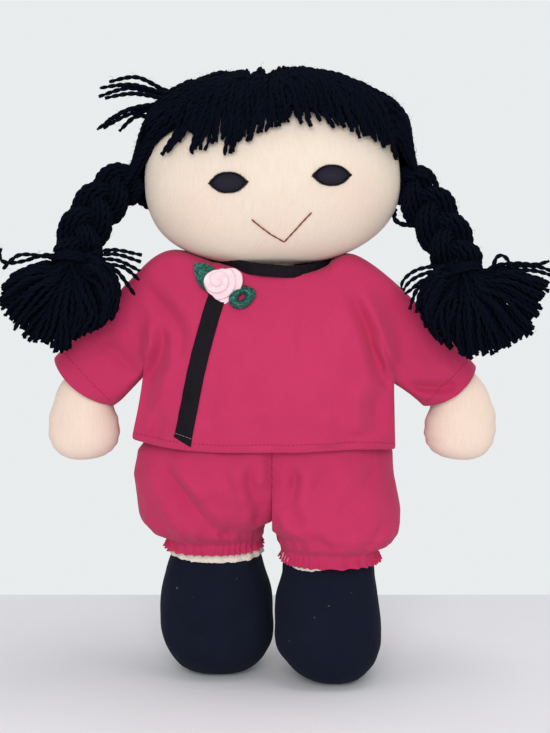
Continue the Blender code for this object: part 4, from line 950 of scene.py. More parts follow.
for side, hand in both_sides:
    chance = random.Random(211 + hand)
    line = even_path(plait_lines[side], plait_step)
    skein = Skein("plait_" + side)
    _, _, sideways, forwards = plait_frame(hand)
    for strand in range(3):
        shift = 2 * math.pi * strand / 3
        centres = []
        for index, point in enumerate(line):
            turn = 2 * math.pi * index * plait_step / braid_cycle + shift
            # The strand is drawn in where it leaves the ear and where it is tied.
            closing = mixed(1, 0.82, ease((index / (len(line) - 1) - 0.92) / 0.08))
            closing *= mixed(0.72, 1, ease(index / 14))
            ahead = (line[min(index + 1, len(line) - 1)] - line[max(index - 1, 0)]).normalized()
            beside = (sideways - ahead * sideways.dot(ahead)).normalized()
            facing = ahead.cross(beside)
            facing = facing if facing.y < 0 else -facing
            sway = beside * strand_sway * math.sin(turn) * closing
            centres.append((point + sway + facing * strand_weave * math.sin(2 * turn) * closing,
                            beside, facing, closing))
        # Yarns lie round the strand, and a thicker one in its middle fills it.
        for yarn in range(strand_yarns + 1):
            core = yarn == strand_yarns
            start = 2 * math.pi * yarn / strand_yarns
            reach = strand_radius * (0.0 if core else chance.uniform(0.76, 0.90))
            controls = []
            for index in range(0, len(centres), 4):
                centre, beside, facing, closing = centres[index]
                turn = start + 0.018 * index
                off = beside * math.cos(turn) * 1.02 + facing * math.sin(turn) * 0.88
                controls.append(centre + off * reach * closing)
            thick = 0.0030 if core else yarn_radius * 1.12
            lay_yarn(skein, controls, chance, radius=thick, step=yarn_step, fluff=0.25)
    lay_yarn(skein, line[2:-2:4], chance, radius=0.0042, step=yarn_step)
    if side == "left":          # one yarn has sagged out at the ear
        lay_yarn(skein, [(0.0650, -0.0040, 0.2530), (0.0644, -0.0105, 0.2478), (0.0676, -0.0130, 0.2452),
                         (0.0725, -0.0140, 0.2446), (0.0775, -0.0130, 0.2454)],
                 chance, step=yarn_step, fluff=0.2)
    plait = skein.made_up("plait_yarns_" + side, yarn_finish)
    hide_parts("plait_" + side)
    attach(plait, "plait_" + side)

    end = line[-1]
    along = (line[-1] - line[-6]).normalized()
    beside = (sideways - along * sideways.dot(along)).normalized()
    facing = along.cross(beside)
    skein = Skein("tie_" + side)
    controls = []
    for index in range(10 * tie_turns):
        turn = 2 * math.pi * index / 10
        rise = mixed(-0.0012, 0.0032, index / (10 * tie_turns - 1))
        off = beside * math.cos(turn) * 1.12 + facing * math.sin(turn)
        controls.append(end + along * rise + off * tie_radius)
    lay_yarn(skein, controls, chance, radius=0.0009)
    tie = skein.made_up("tie_yarn_" + side, yarn_finish)
    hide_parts("plait_tie_" + side)
    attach(tie, "plait_" + side)

    skein = Skein("tassel_" + side, 0)
    neck = end + along * 0.0010
    outer_edge, inner_edge = tassel_reach[side][0][0], tassel_reach[side][-1][0]
    for index in range(tassel_yarns + tassel_filling):
        # The yarns fan out from the tie. Those on the inner side start out level and then hang down.
        if index < tassel_yarns:
            share = (index + chance.uniform(0, 1)) / tassel_yarns
        else:
            share = chance.uniform(0.48, 0.86)
        degrees = mixed(outer_edge, inner_edge, share)
        reach = read_off(tassel_reach[side], degrees) + chance.uniform(-0.0045, 0.0008)
        lean = math.radians(degrees)
        begun = lean + 0.50 * ease((degrees - 80) / 40) - 0.04 * ease((50 - degrees) / 40)
        depth = ((index * 5) % 8) / 3.5 - 1 + chance.uniform(-0.3, 0.3)
        out = Vector((hand * math.cos(lean), 0, -math.sin(lean)))
        early = Vector((hand * math.cos(begun), 0, -math.sin(begun)))
        between = (early + out).normalized()
        tip = neck + out * reach + Vector((0, -0.0064 - 0.0066 * depth, 0))
        turn = math.pi * (index % 12) / 6
        off = beside * math.cos(turn) + facing * math.sin(turn)
        begin = neck - along * 0.004 + off * 0.0070 * chance.random()
        first = neck + along * 0.002 + early * 0.0095 + Vector((0, -0.0016 - 0.0064 * depth, 0.0010))
        sag = math.cos(lean) ** 2
        middle = neck + early * reach * 0.52 + Vector((0, -0.0066 - 0.0082 * depth, 0.0020 * sag))
        middle += Vector((chance.uniform(-1, 1), chance.uniform(-1, 1), chance.uniform(-1, 1))) * 0.0020
        before = neck + between * reach * 0.82
        before += Vector((chance.uniform(-1, 1) * 0.0014, -0.0066 - 0.0072 * depth, 0.0010 * sag))
        thick = yarn_radius * chance.uniform(0.95, 1.15)
        lay_yarn(skein, [begin, first, middle, before, tip], chance, radius=thick, step=yarn_step,
                 end_share=0.8, fluff=0.20)
    # Some yarns have slipped out, and arch over the shoulder or loop up on the outer side.
    for steps in loose_yarns[side]:
        points = [neck] + [neck + Vector((across, -0.005 - 0.006 * (number + 1) / len(steps), rise))
                           for number, (across, rise) in enumerate(steps)]
        lay_yarn(skein, points, chance, radius=yarn_radius * 0.9, step=yarn_step, end_share=0.7, fluff=0.2)
    tassel = skein.made_up("tassel_yarns_" + side, yarn_finish)
    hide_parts("tassel_" + side)
    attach(tassel, "plait_" + side)


# The jacket is cut like a kimono from crimson cotton, body and sleeve in one, with a seam down the back.
# Each half is a front and a back sewn together under the arm and down the side, and turned up at the hem.

crimson_finish, tree, shader = new_finish("crimson_cotton", 0.90, sheen=0.14,
                                          sheen_tint=(1.0, 0.50, 0.62, 1), specular=0.15)
cloth = weave(tree, **{"Threads": 2600.0, "Slub size": 300.0, "Upright": 0.5})
colour = blend_colours(tree, cloth["Mottle"], (0.462, 0.0262, 0.0930, 1), (0.523, 0.0328, 0.1120, 1))
thicker = add_node(tree, "MapRange", {"Value": cloth["Slub"], "From Min": 0.55, "From Max": 0.8,
                                      "To Max": 0.35})
colour_with(tree, shader, thicker.outputs[0], colour, (0.62, 0.052, 0.150, 1))
raise_surface(tree, shader, cloth["Height"], 0.35, 0.0003)

collar_half_width, collar_half_depth = 0.0305, 0.0262
collar_heights = {"front": 0.2200, "side": 0.2252, "back": 0.2262}
collar_sags = {1: 0.0018, -1: 0.0008}           # at the front, on the left and on the right
cuff_half_depth = 0.0165
hem_half_depths = {True: 0.0428, False: 0.0418}  # front, back
jacket_half_width = 0.0690      # where the body's swell ends at the sides
hem_power, body_power = 2.45, 2.6               # how square the oval is at the hem and above it
neck_share, placket_share = 0.30, 0.262
shoulder_lines = {              # across and height, from the neck along the shoulder to the cuff
    "right": ((0.0305, 0.2250), (0.0385, 0.2284), (0.0480, 0.2312), (0.0560, 0.2310),
              (0.0640, 0.2266), (0.0730, 0.2178), (0.0840, 0.2068), (0.0950, 0.1958),
              (0.1060, 0.1848), (0.1168, 0.1738)),
    "left": ((0.0305, 0.2256), (0.0370, 0.2292), (0.0440, 0.2290), (0.0520, 0.2248), (0.0610, 0.2180),
             (0.0700, 0.2100), (0.0800, 0.2002), (0.0900, 0.1900), (0.1000, 0.1796), (0.1094, 0.1694))}
# The hem from the middle, past the placket to the corner, then up the side and out under the arm.
lower_lines = {
    "right": ((0.0000, 0.1284), (0.0140, 0.1282), (0.0300, 0.1280), (0.0460, 0.1288),
              (0.0605, 0.1300), (0.0742, 0.1318), (0.0701, 0.1487), (0.0656, 0.1676),
              (0.0700, 0.1625), (0.0756, 0.1566), (0.0808, 0.1512), (0.0850, 0.1480)),
    "left": ((0.0000, 0.1284), (0.0150, 0.1284), (0.0300, 0.1288), (0.0440, 0.1290), (0.0560, 0.1280),
             (0.0655, 0.1262), (0.0648, 0.1420), (0.0640, 0.1612), (0.0690, 0.1580), (0.0735, 0.1548),
             (0.0778, 0.1512), (0.0814, 0.1478))}
lower_shares = (0, 0.09, 0.18, 0.27, 0.365, 0.46, 0.55, 0.64, 0.73, 0.82, 0.91, 1)
corner_point = 5                # the hem's corner, among the points of a lower line
corner_share = lower_shares[corner_point]
most_depths = (                 # height, and the most that the cloth stands off the middle there
    (0.1275, 0.0440), (0.1445, 0.0430), (0.1625, 0.0412), (0.1785, 0.0384), (0.1935, 0.0345),
    (0.2055, 0.0305), (0.2135, 0.0275), (0.2200, 0.0262), (0.2340, 0.0240))
# Folds on the front: across and height of points, half width, and how far they push the cloth out.
jacket_folds = (
    (((0.0350, 0.2170), (0.0440, 0.2040), (0.0500, 0.1900), (0.0525, 0.1770), (0.0560, 0.1660),
      (0.0630, 0.1590)), 0.0030, -0.0030),
    (((0.0430, 0.2120), (0.0530, 0.1980), (0.0590, 0.1850), (0.0635, 0.1700)), 0.0040, 0.0021),
    (((0.0480, 0.1850), (0.0530, 0.1805), (0.0570, 0.1740), (0.0580, 0.1680)), 0.0011, -0.0014),
    (((0.0500, 0.1790), (0.0545, 0.1750), (0.0575, 0.1690)), 0.0009, -0.0010),
    (((0.0570, 0.1840), (0.0610, 0.1760), (0.0645, 0.1700)), 0.0012, -0.0013),
    (((0.0560, 0.1620), (0.0535, 0.1500), (0.0545, 0.1360)), 0.0045, -0.0022),
    (((0.0470, 0.1660), (0.0440, 0.1520), (0.0430, 0.1360)), 0.0050, 0.0016),
    (((0.0690, 0.1620), (0.0780, 0.1600), (0.0880, 0.1610), (0.0950, 0.1640)), 0.0022, -0.0026),
    (((0.0720, 0.1700), (0.0820, 0.1700), (0.0940, 0.1740)), 0.0040, 0.0016),
    (((0.0160, 0.2060), (0.0155, 0.1900), (0.0145, 0.1760)), 0.0016, -0.0008),
    (((0.0100, 0.2060), (0.0095, 0.1900), (0.0090, 0.1700), (0.0100, 0.1400)), 0.0016, 0.0005),
    (((-0.0680, 0.2200), (-0.0600, 0.2060), (-0.0500, 0.1960), (-0.0470, 0.1860), (-0.0500, 0.1740)),
      0.0034, -0.0026),
    (((-0.0580, 0.1980), (-0.0560, 0.1840), (-0.0590, 0.1720), (-0.0660, 0.1620)), 0.0032, -0.0034),
    (((-0.0640, 0.1980), (-0.0630, 0.1840), (-0.0670, 0.1740)), 0.0034, 0.0026),
    (((-0.0530, 0.1760), (-0.0560, 0.1600), (-0.0620, 0.1450), (-0.0680, 0.1350)), 0.0044, 0.0020),
    (((-0.0700, 0.1640), (-0.0790, 0.1760), (-0.0900, 0.1850)), 0.0036, -0.0020),
    (((-0.0600, 0.1520), (-0.0590, 0.1420), (-0.0620, 0.1320)), 0.0030, -0.0018),
    (((0.0250, 0.1520), (0.0300, 0.1400), (0.0290, 0.1300)), 0.0060, 0.0014),
    (((-0.0100, 0.1480), (-0.0060, 0.1400), (-0.0050, 0.1300)), 0.0050, -0.0012),
    (((-0.0240, 0.1900), (-0.0300, 0.1600), (-0.0340, 0.1400)), 0.0050, -0.0012))
back_folds = (
    (((-0.0020, 0.2150), (0.0010, 0.1800), (0.0000, 0.1500)), 0.0014, -0.0003),
    (((0.0600, 0.2050), (0.0560, 0.1850), (0.0620, 0.1650)), 0.0034, -0.0030),
    (((-0.0600, 0.2050), (-0.0560, 0.1850), (-0.0630, 0.1680)), 0.0034, -0.0028),
    (((0.0300, 0.2000), (0.0260, 0.1800), (0.0320, 0.1550)), 0.0050, 0.0016),
    (((-0.0320, 0.1900), (-0.0280, 0.1700), (-0.0340, 0.1450)), 0.0050, 0.0016),
    (((0.0460, 0.1650), (0.0500, 0.1500), (0.0470, 0.1340)), 0.0050, -0.0018),
    (((-0.0470, 0.1620), (-0.0500, 0.1500), (-0.0460, 0.1340)), 0.0050, -0.0018),
    (((0.0120, 0.1550), (0.0140, 0.1420), (0.0120, 0.1300)), 0.0050, -0.0012))


def run_along(points, shares, share):
    """A place on a line of points that lie at their own shares of its length."""
    for low, high, start, end in zip(shares, shares[1:], points, points[1:]):
        if share <= high or high == shares[-1]:
            part = within((share - low) / (high - low))
            return mixed(start[0], end[0], part), mixed(start[1], end[1], part)


def fold_depth(across, height, folds):
    """How far folds push the cloth out at a place on the front."""
    total = 0
    for points, half_width, depth in folds:
        nearest, share = 1, 0
        for index, ((x0, z0), (x1, z1)) in enumerate(zip(points, points[1:])):
            run, climb = x1 - x0, z1 - z0
            part = within(((across - x0) * run + (height - z0) * climb) / (run * run + climb * climb))
            away = math.hypot(across - x0 - run * part, height - z0 - climb * part)
            if away < nearest:
                nearest, share = away, (index + part) / (len(points) - 1)
        if nearest < half_width * 4:
            fade = nearest / half_width
            strength = ease(share / 0.35) * ease((1 - share) / 0.15)
            total += 1.4 * depth * strength * (math.exp(-fade ** 1.5) - 0.28 * math.exp(-(fade - 2) ** 2))
    return total


def neck_height(turn):
    """The height of the neck edge, at a turn from the left side through the front to the right side."""
    if math.sin(turn) > 0:      # the front sags, a little more on the left
        ahead, sag = collar_heights["front"], collar_sags[1 if math.cos(turn) > 0 else -1]
    else:
        ahead, sag = collar_heights["back"], 0
    return mixed(collar_heights["side"], ahead, math.sin(turn) ** 2) - sag * math.sin(2 * turn)


def jacket_spot(share, fall, front):
    """A jacket point laid flat, across and up. A share runs from the right cuff at -1 to the left at 1."""
    side, sign = ("left", 1) if share >= 0 else ("right", -1)
    share = abs(share)
    if share < neck_share:
        turn = math.pi / 2 * (1 - share / neck_share)
        round_neck = (turn if sign > 0 else math.pi - turn) if front else -turn
        top = (collar_half_width * math.cos(turn), neck_height(round_neck))
    else:
        top = along_rows(shoulder_lines[side], (share - neck_share) / (1 - neck_share))
    low = run_along(lower_lines[side], lower_shares, share)
    return sign * mixed(top[0], low[0], fall), mixed(top[1], low[1], fall)


def most_depth(across, height, share):
    """The most that the cloth stands off the middle, over the stuffed body or an arm."""
    body = read_off(most_depths, height)
    body *= (1 - min(abs(across) / jacket_half_width, 1) ** body_power) ** (1 / body_power)
    sleeve = mixed(0.0222, 0.0180, ease((share - 0.55) / 0.45)) * ease((abs(across) - 0.020) / 0.030)
    return max((body ** 7 + sleeve ** 7) ** (1 / 7), 0.006)


def swell(spots, shares, falls, front):
    """How far the cloth stands off its seams, as a filled pillow that is open at neck, hem and cuffs."""
    flat = numpy.array(spots)
    beside = numpy.linalg.norm(numpy.diff(flat, axis=1), axis=2).clip(0.0003)
    below = numpy.linalg.norm(numpy.diff(flat, axis=0), axis=2).clip(0.0003)
    depth = numpy.zeros(flat.shape[:2])
    fixed = numpy.zeros_like(depth, bool)
    for column, share in enumerate(shares):
        if abs(share) < neck_share:
            low = flat[0, column, 0] / collar_half_width
            depth[0, column] = collar_half_depth ** 2 * max(1 - low ** 2, 0)
        if abs(share) < corner_share:
            across = flat[-1, column, 0]
            low = min(abs(across) / lower_lines["right" if across < 0 else "left"][corner_point][0], 1)
            depth[-1, column] = (hem_half_depths[front] * (1 - low ** hem_power) ** (1 / hem_power)) ** 2
    fixed[0] = fixed[-1] = True
    for row, fall in enumerate(falls):
        depth[row, 0] = depth[row, -1] = cuff_half_depth ** 2 * 4 * fall * (1 - fall)
    fixed[:, 0] = fixed[:, -1] = True
    pull = [mixed(1.05, 2.2, ease((abs(share) - 0.45) / 0.35)) for share in shares]
    aside = 1 / numpy.pad(beside, ((0, 0), (0, 1)), mode="edge") ** 2
    down = 1 / numpy.pad(below, ((0, 1), (0, 0)), mode="edge") ** 2
    for _ in range(settling_rounds):
        near = numpy.pad(depth, 1, mode="edge")
        new = aside * (near[1:-1, :-2] + near[1:-1, 2:]) + down * (near[:-2, 1:-1] + near[2:, 1:-1]) + pull
        depth = numpy.where(fixed, depth, new / (2 * aside + 2 * down))
    depth = numpy.sqrt(depth)
    most = [[most_depth(x, z, abs(share)) for (x, z), share in zip(row, shares)] for row in spots]
    most = numpy.array(most)
    soft = depth / (1 + (depth / (most * 1.02)) ** 6) ** (1 / 6)
    fixed[-1] = False
    return numpy.where(fixed, depth, soft)


def jacket_sheet(front, rows, first, last):
    """The part of the front or the back between two columns, which run from the right cuff to the left."""
    face = -1 if front else 1
    shares = jacket_shares[front]
    falls = [0.5 - 0.5 * math.cos(math.pi * step / rows) for step in range(rows + 1)]
    spots = [[jacket_spot(share, fall, front) for share in shares] for fall in falls]
    depths = swell(spots, shares, falls, front)

    def place(across, along):
        column, row = first + round(across * (last - first)), round(along * rows)
        x, z = spots[row][column]
        share, fall, depth = abs(shares[column]), falls[row], depths[row][column]
        hand = -1 if shares[column] < 0 else 1
        seam = min(1, depth / 0.006)
        push = lumps((x, face, z), 0.022, 0.0012, 3) + lumps((x, face, z * 0.6), 0.009, 0.0004, 8)
        push += fold_depth(x, z, jacket_folds if front else back_folds)
        # The hem waves a little, and the cuff's front edge hangs lower than its back edge.
        hem = ease((fall - 0.8) / 0.2) if share < corner_share else 0
        push += hem * 0.0006 * math.sin(x * 95 + 1.2)
        lap = 0
        if column == (first or last):           # the halves lap a little where they meet
            lap = -0.0006 if first else 0.0006
        cuff = ease((share - 0.78) / 0.22) * 4 * fall * (1 - fall) * (0.0040 if front else -0.0020)
        y = middle_y + face * (depth + push * seam)
        return Vector((x + lap + hand * 0.74 * cuff, y, z - 0.67 * cuff))

    return lay_cloth(last - first, rows, place)


def join(first, second):
    """Puts two pieces of cloth into one mesh."""
    spare = bpy.data.meshes.new("spare")
    second.to_mesh(spare)
    second.free()
    first.from_mesh(spare)
    bpy.data.meshes.remove(spare)
    return first


# The two halves are sewn edge to edge down the middle of the back and under the placket on the front.
jacket_rows, settling_rounds = 56, 3000
jacket_layout = {               # front or back: where the halves meet, and columns to its right and left
    True: (-placket_share, 60, 96), False: (0, 72, 72)}
jacket_shares = {}
for front, (edge, right_count, left_count) in jacket_layout.items():
    jacket_shares[front] = [mixed(-1, edge, step / right_count) for step in range(right_count)]
    jacket_shares[front] += [mixed(edge, 1, step / left_count) for step in range(left_count + 1)]
jacket_halves = {}
for side, hand in both_sides:
    sheets = []
    for front, (edge, right_count, left_count) in jacket_layout.items():
        first, last = (0, right_count) if side == "right" else (right_count, right_count + left_count)
        sheets.append(jacket_sheet(front, jacket_rows, first, last))
    half = sew(join(*sheets), 0.0002)
    half = piece_of("jacket_" + side, half, crimson_finish, rounds=1, thickness=0.0007)
    jacket_halves[side] = half
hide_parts("jacket", "sleeve_right")
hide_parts("jacket", "sleeve_left")

bpy.context.view_layer.update()
view = bpy.context.evaluated_depsgraph_get()
jacket_shapes = [BVHTree.FromObject(half, view) for half in jacket_halves.values()]


def on_jacket(across, height, extra, face=-1):
    """The point of the jacket's front, or back, at a place across and a height, moved out by extra."""
    start, inwards = Vector((across, face * 0.2, height)), Vector((0, -face, 0))
    hits = [hit for hit in (shape.ray_cast(start, inwards) for shape in jacket_shapes) if hit[0]]
    if not hits:
        return Vector((across, middle_y + face * 0.030, height))
    spot, normal = max(hits, key=lambda hit: hit[0].y * face)[:2]
    return spot + Vector((0, face, 0)).lerp(normal, 0.5).normalized() * extra


# The hem and the cuffs are turned up and sewn with a row of small stitches in crimson thread.
crimson_thread = thread_finish("crimson_thread", 2500, (0.23, 0.008, 0.035, 1), (0.40, 0.020, 0.075, 1),
                               0.75, (0.4, 0.0001), specular=0.2)
hem_turn_up = 0.0042
stitch_length, stitch_radius = 0.0017, 0.00016
stitch_radii = [stitch_radius * 0.6, stitch_radius, stitch_radius, stitch_radius * 0.6]


def lay_stitches(skein, points):
    """Lays a row of stitches along points at even steps, with a small gap after each."""
    path = even_path([tuple(point) for point in points], stitch_length / 4)
    for first in range(0, len(path) - 4, 5):
        skein.lay(path[first:first + 4], stitch_radii)


for side, hand in both_sides:
    outward = Vector((hand * 0.949, 0, 0.316))
    skein = Skein("jacket_stitches_" + side)
    for face in (-1, 1):
        columns = [step / 40 * corner_share * 0.985 for step in range(41)]
        if side == "right" and face < 0:
            columns = [share for share in columns if share > placket_share + 0.02]
        if side == "left" and face < 0:
            columns = [-share for share in reversed(columns) if 0 < share < placket_share - 0.02] + columns
        row = []
        for share in columns:
            x, z = jacket_spot(hand * share, 1, face < 0)
            row.append(on_jacket(x, z + hem_turn_up, 0.0001, face))
        lay_stitches(skein, row)
        row = []
        for step in range(3, 38):
            x, z = jacket_spot(hand * 0.955, step / 40, face < 0)
            row.append(on_jacket(x, z, 0.0001, face))
        lay_stitches(skein, row)
    stitches = skein.made_up("jacket_stitches_" + side, crimson_thread)
    for cloth in (jacket_halves[side], stitches):
        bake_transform(cloth)


# The neck is bound with black ribbon in a ribbed weave. It is folded in half over the raw edge
# of the crimson cotton and stitched through, so it stands up a little and puckers.

collar_finish, tree, shader = new_finish("black_ribbon", 0.70, specular=0.10)
ribs = ribs_along(tree, object_axes(tree)["Z"], 2 * math.pi / 0.00055)
colour_with(tree, shader, grain(tree, 300), (0.0045, 0.0035, 0.0060, 1), (0.0095, 0.0075, 0.0115, 1))
raise_surface(tree, shader, ribs, 0.4, 0.00015)


def collar_place(around, along):
    turn = 2 * math.pi * around
    wide, deep = math.cos(turn), math.sin(turn)
    # The ribbon comes up the outside, over the edge and down inside the neck. It is wider in front.
    fold = along * 2 - 1
    lift = (0.0036 + 0.0010 * max(deep, 0)) - (0.0052 + 0.0012 * max(deep, 0)) * abs(fold) ** 1.2
    crinkle = 0.00018 * math.sin(turn * 37 + 2 * math.sin(turn * 5))
    crinkle += lumps((wide, deep, 0), 0.3, 0.0002, 12)
    reach = -0.0011 * fold / max(abs(fold), 0.2) + crinkle + 0.0003
    return Vector(((collar_half_width + reach) * wide, middle_y - (collar_half_depth + reach) * deep,
                   neck_height(turn) + lift))


collar = piece_of("neck_ribbon", sew(lay_cloth(160, 14, collar_place)), collar_finish, thickness=0.0004)
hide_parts("collar_ribbon")
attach(collar, "body")


# The same ribbon runs slantwise down the front as the placket. Its lower end is folded under,
# and held by a row of stitches just over the hem.

ribbon_line = (                 # across and height of the ribbon's middle
    (-0.0215, 0.2192), (-0.0250, 0.2120), (-0.0286, 0.2069), (-0.0345, 0.1870), (-0.0390, 0.1690),
    (-0.0428, 0.1500), (-0.0462, 0.1335))
ribbon_half_width = 0.0045


def placket_place(across, along):
    centre, above, below = (Vector(along_rows(ribbon_line, along + step)) for step in (0, -0.02, 0.02))
    beside = (below - above).orthogonal().normalized()
    edge = (across - 0.5) * 2
    slant = 0.0016 * edge * ease((along - 0.93) / 0.07)
    spot = centre + beside * ribbon_half_width * edge - Vector((0, slant))
    wave = 0.00022 * math.sin(along * 70 + edge) + 0.00020 * abs(edge) ** 4
    return on_jacket(spot.x, spot.y, 0.0005 + wave)


placket_cloth = sew(lay_cloth(12, 110, placket_place))
placket = piece_of("placket_ribbon_cloth", placket_cloth, collar_finish, thickness=0.0004)
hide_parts("placket_ribbon")
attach(placket, "body")

pale_thread = thread_finish("pale_thread", 2500, (0.16, 0.12, 0.12, 1), (0.38, 0.33, 0.32, 1), 0.8,
                            (0.4, 0.0001))
skein = Skein("placket_stitches", 0)
for row in range(5):
    share = (row + 0.5) / 5
    start, end = (placket_place(part, 0.955) + Vector((0, -0.0004, 0))
                  for part in (share - 0.08, share + 0.08))
    skein.lay([start, start.lerp(end, 0.5) + Vector((0, -0.0001, 0)), end], [0.00010, 0.00014, 0.00010])
stitches = skein.made_up("placket_end_stitches", pale_thread)
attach(stitches, "body")


# Two leaves of green satin ribbon, a pointed fold and a small loop, are sewn on at the neck.
# On them sits a rose, wound from a strip of pink satin ribbon, with one pointed petal at the side.

green_finish, tree, shader = new_finish("green_satin_ribbon", 0.42, specular=0.35)
axes = object_axes(tree)
ribs = ribs_along(tree, arithmetic(tree, "SUBTRACT", axes["X"], axes["Z"]), 9000.0)
glints = add_node(tree, "MapRange", {"Value": grain(tree, 900), "From Min": 0.42, "From Max": 0.66})
colour_with(tree, shader, glints.outputs[0], (0.001, 0.048, 0.036, 1), (0.020, 0.200, 0.145, 1))
raise_surface(tree, shader, ribs, 0.25, 0.0001)

leaf_tip, leaf_root = Vector((-0.0400, 0, 0.2253)), Vector((-0.0272, 0, 0.2118))


def upper_leaf_place(across, along):
    run = leaf_root - leaf_tip
    beside = Vector((-run.z, 0, run.x)).normalized()
    full = math.sin(math.pi * (0.01 + along * 0.80)) ** 0.82
    edge = (across - 0.5) * 2
    spot = leaf_tip + run * along + beside * 0.0060 * full * edge
    fold = 0.0016 * (1 - abs(edge)) * full + 0.0002 * math.sin(along * 25)
    base = on_jacket(max(spot.x, -0.0405), min(spot.z, 0.2235), 0)
    return Vector((spot.x, base.y - 0.0016 - fold - 0.0016 * along, spot.z))


upper_leaf = sew(lay_cloth(10, 24, upper_leaf_place))
upper_leaf = piece_of("ribbon_leaf_upper", upper_leaf, green_finish, rounds=1, thickness=0.0003)
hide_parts("rose_leaf_upper")
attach(upper_leaf, "body")


def lower_leaf_place(across, along):
    turn = 2 * math.pi * across
    reach = mixed(0.24, 1, along)
    tip = 1 + 0.18 * max(math.cos(turn - 0.35), 0) ** 6
    x = -0.0156 + 0.0066 * reach * math.cos(turn) * tip
    z = 0.2078 + 0.0059 * reach * math.sin(turn) + 0.0010 * math.cos(turn)
    pad = 0.0016 + 0.0030 * math.sin(math.pi * min(along * 1.1, 1))
    return Vector((x, on_jacket(x, z, 0).y - pad, z))


lower_leaf = sew(lay_cloth(32, 6, lower_leaf_place))
lower_leaf = piece_of("ribbon_leaf_loop", lower_leaf, green_finish, rounds=1, thickness=0.0003)
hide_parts("rose_leaf_lower")
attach(lower_leaf, "body")

pink_finish, tree, shader = new_finish("pink_satin_ribbon", 0.42, specular=0.35)
colour_with(tree, shader, grain(tree, 260), (0.87, 0.540, 0.600, 1), (0.93, 0.710, 0.760, 1))
raise_surface(tree, shader, grain(tree, 2600), 0.2, 0.0001)

rose_centre = on_jacket(-0.0242, 0.2142, 0) + Vector((0, -0.0006, 0))
rose_rim = 0.86                 # where the ribbon's outer edge turns under
# Degrees round from the right, and how far the petals reach from the middle of the roll.
rose_outline = (
    (-180, 0.0073), (-149, 0.0076), (-112, 0.0083), (-90, 0.0105), (-73.7, 0.0130), (-60, 0.0122),
    (-51.3, 0.0115), (-25.5, 0.0124), (-1.3, 0.0129), (15, 0.0128), (29.7, 0.0113), (58.2, 0.0069),
    (90, 0.0055), (121.5, 0.0057), (180, 0.0073))


def rose_place(around, along):
    # The ribbon is wound into a low dome, and each turn of it laps over the next.
    degrees = 360 * around - 180
    edge = read_off(rose_outline, degrees, 0.4)
    if along < rose_rim:
        reach = edge * math.sin(math.pi / 2 * along / rose_rim)
    else:
        reach = edge * mixed(1, 0.93, (along - rose_rim) / (1 - rose_rim))
    turn = math.radians(degrees)
    dome = mixed(0.0060, 0.0026, min(reach / 0.0105, 1) ** 1.6)
    if along > 0.62:
        dome *= mixed(1, 0.12, ease((along - 0.62) / 0.38) ** 2)
    lap = (reach - 0.0004) / 0.0036 + around
    step = lap - math.floor(lap)
    petal = 0.0011 * (step ** 1.6 - ease((step - 0.86) / 0.14))
    petal *= min(reach / 0.0012, 1) * ease((0.96 - along) / 0.3)
    crease = 0.0002 * math.sin(turn * 5 + reach * 700) * min(reach / 0.002, 1)
    return rose_centre + Vector((-0.0035 + reach * math.cos(turn), -(dome + petal + crease),
                                 0.0023 + reach * math.sin(turn)))


rose = sew(lay_cloth(120, 60, rose_place))
rose = piece_of("wound_ribbon_rose", rose, pink_finish, rounds=1, thickness=0.0002)
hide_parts("ribbon_rose")
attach(rose, "body")


# The bloomers are two puffed legs of the same crimson cotton, sewn together down the middle.
# The cloth is gathered on to elastic at the waist and at each cuff, which leaves a small frill.

bloomers_half_width, bloomers_half_depth = 0.0725, 0.0370
waist_height, cuff_heights = 0.1380, {"right": 0.0698, "left": 0.0664}
bloomers_sections = {           # height share, how far closed round the leg, outward, inward, depth
    "right": ((1, 0, 0.780, 0, 0.87), (0.90, 0, 0.925, 0, 0.92), (0.80, 0, 1.000, 0, 0.96),
              (0.60, 0.04, 1.030, 0, 1), (0.46, 0.22, 1.025, 0, 1), (0.36, 0.50, 1.005, 0, 0.985),
              (0.28, 0.80, 0.985, 0, 0.96), (0.21, 1, 0.955, 0.034, 0.93),
              (0.14, 1, 0.890, 0.066, 0.85), (0.085, 1, 0.774, 0.088, 0.695),
              (0.05, 1, 0.774, 0.100, 0.695), (0, 1, 0.785, 0.096, 0.715)),
    "left": ((1, 0, 0.740, 0, 0.87), (0.90, 0, 0.850, 0, 0.92), (0.80, 0, 0.892, 0, 0.96),
             (0.60, 0.04, 0.915, 0, 1), (0.46, 0.22, 0.940, 0, 1), (0.36, 0.50, 0.952, 0, 0.985),
             (0.28, 0.80, 0.948, 0, 0.96), (0.21, 1, 0.930, 0.020, 0.93),
             (0.14, 1, 0.872, 0.056, 0.85), (0.095, 1, 0.772, 0.084, 0.700),
             (0.05, 1, 0.768, 0.094, 0.700), (0, 1, 0.780, 0.088, 0.72))}
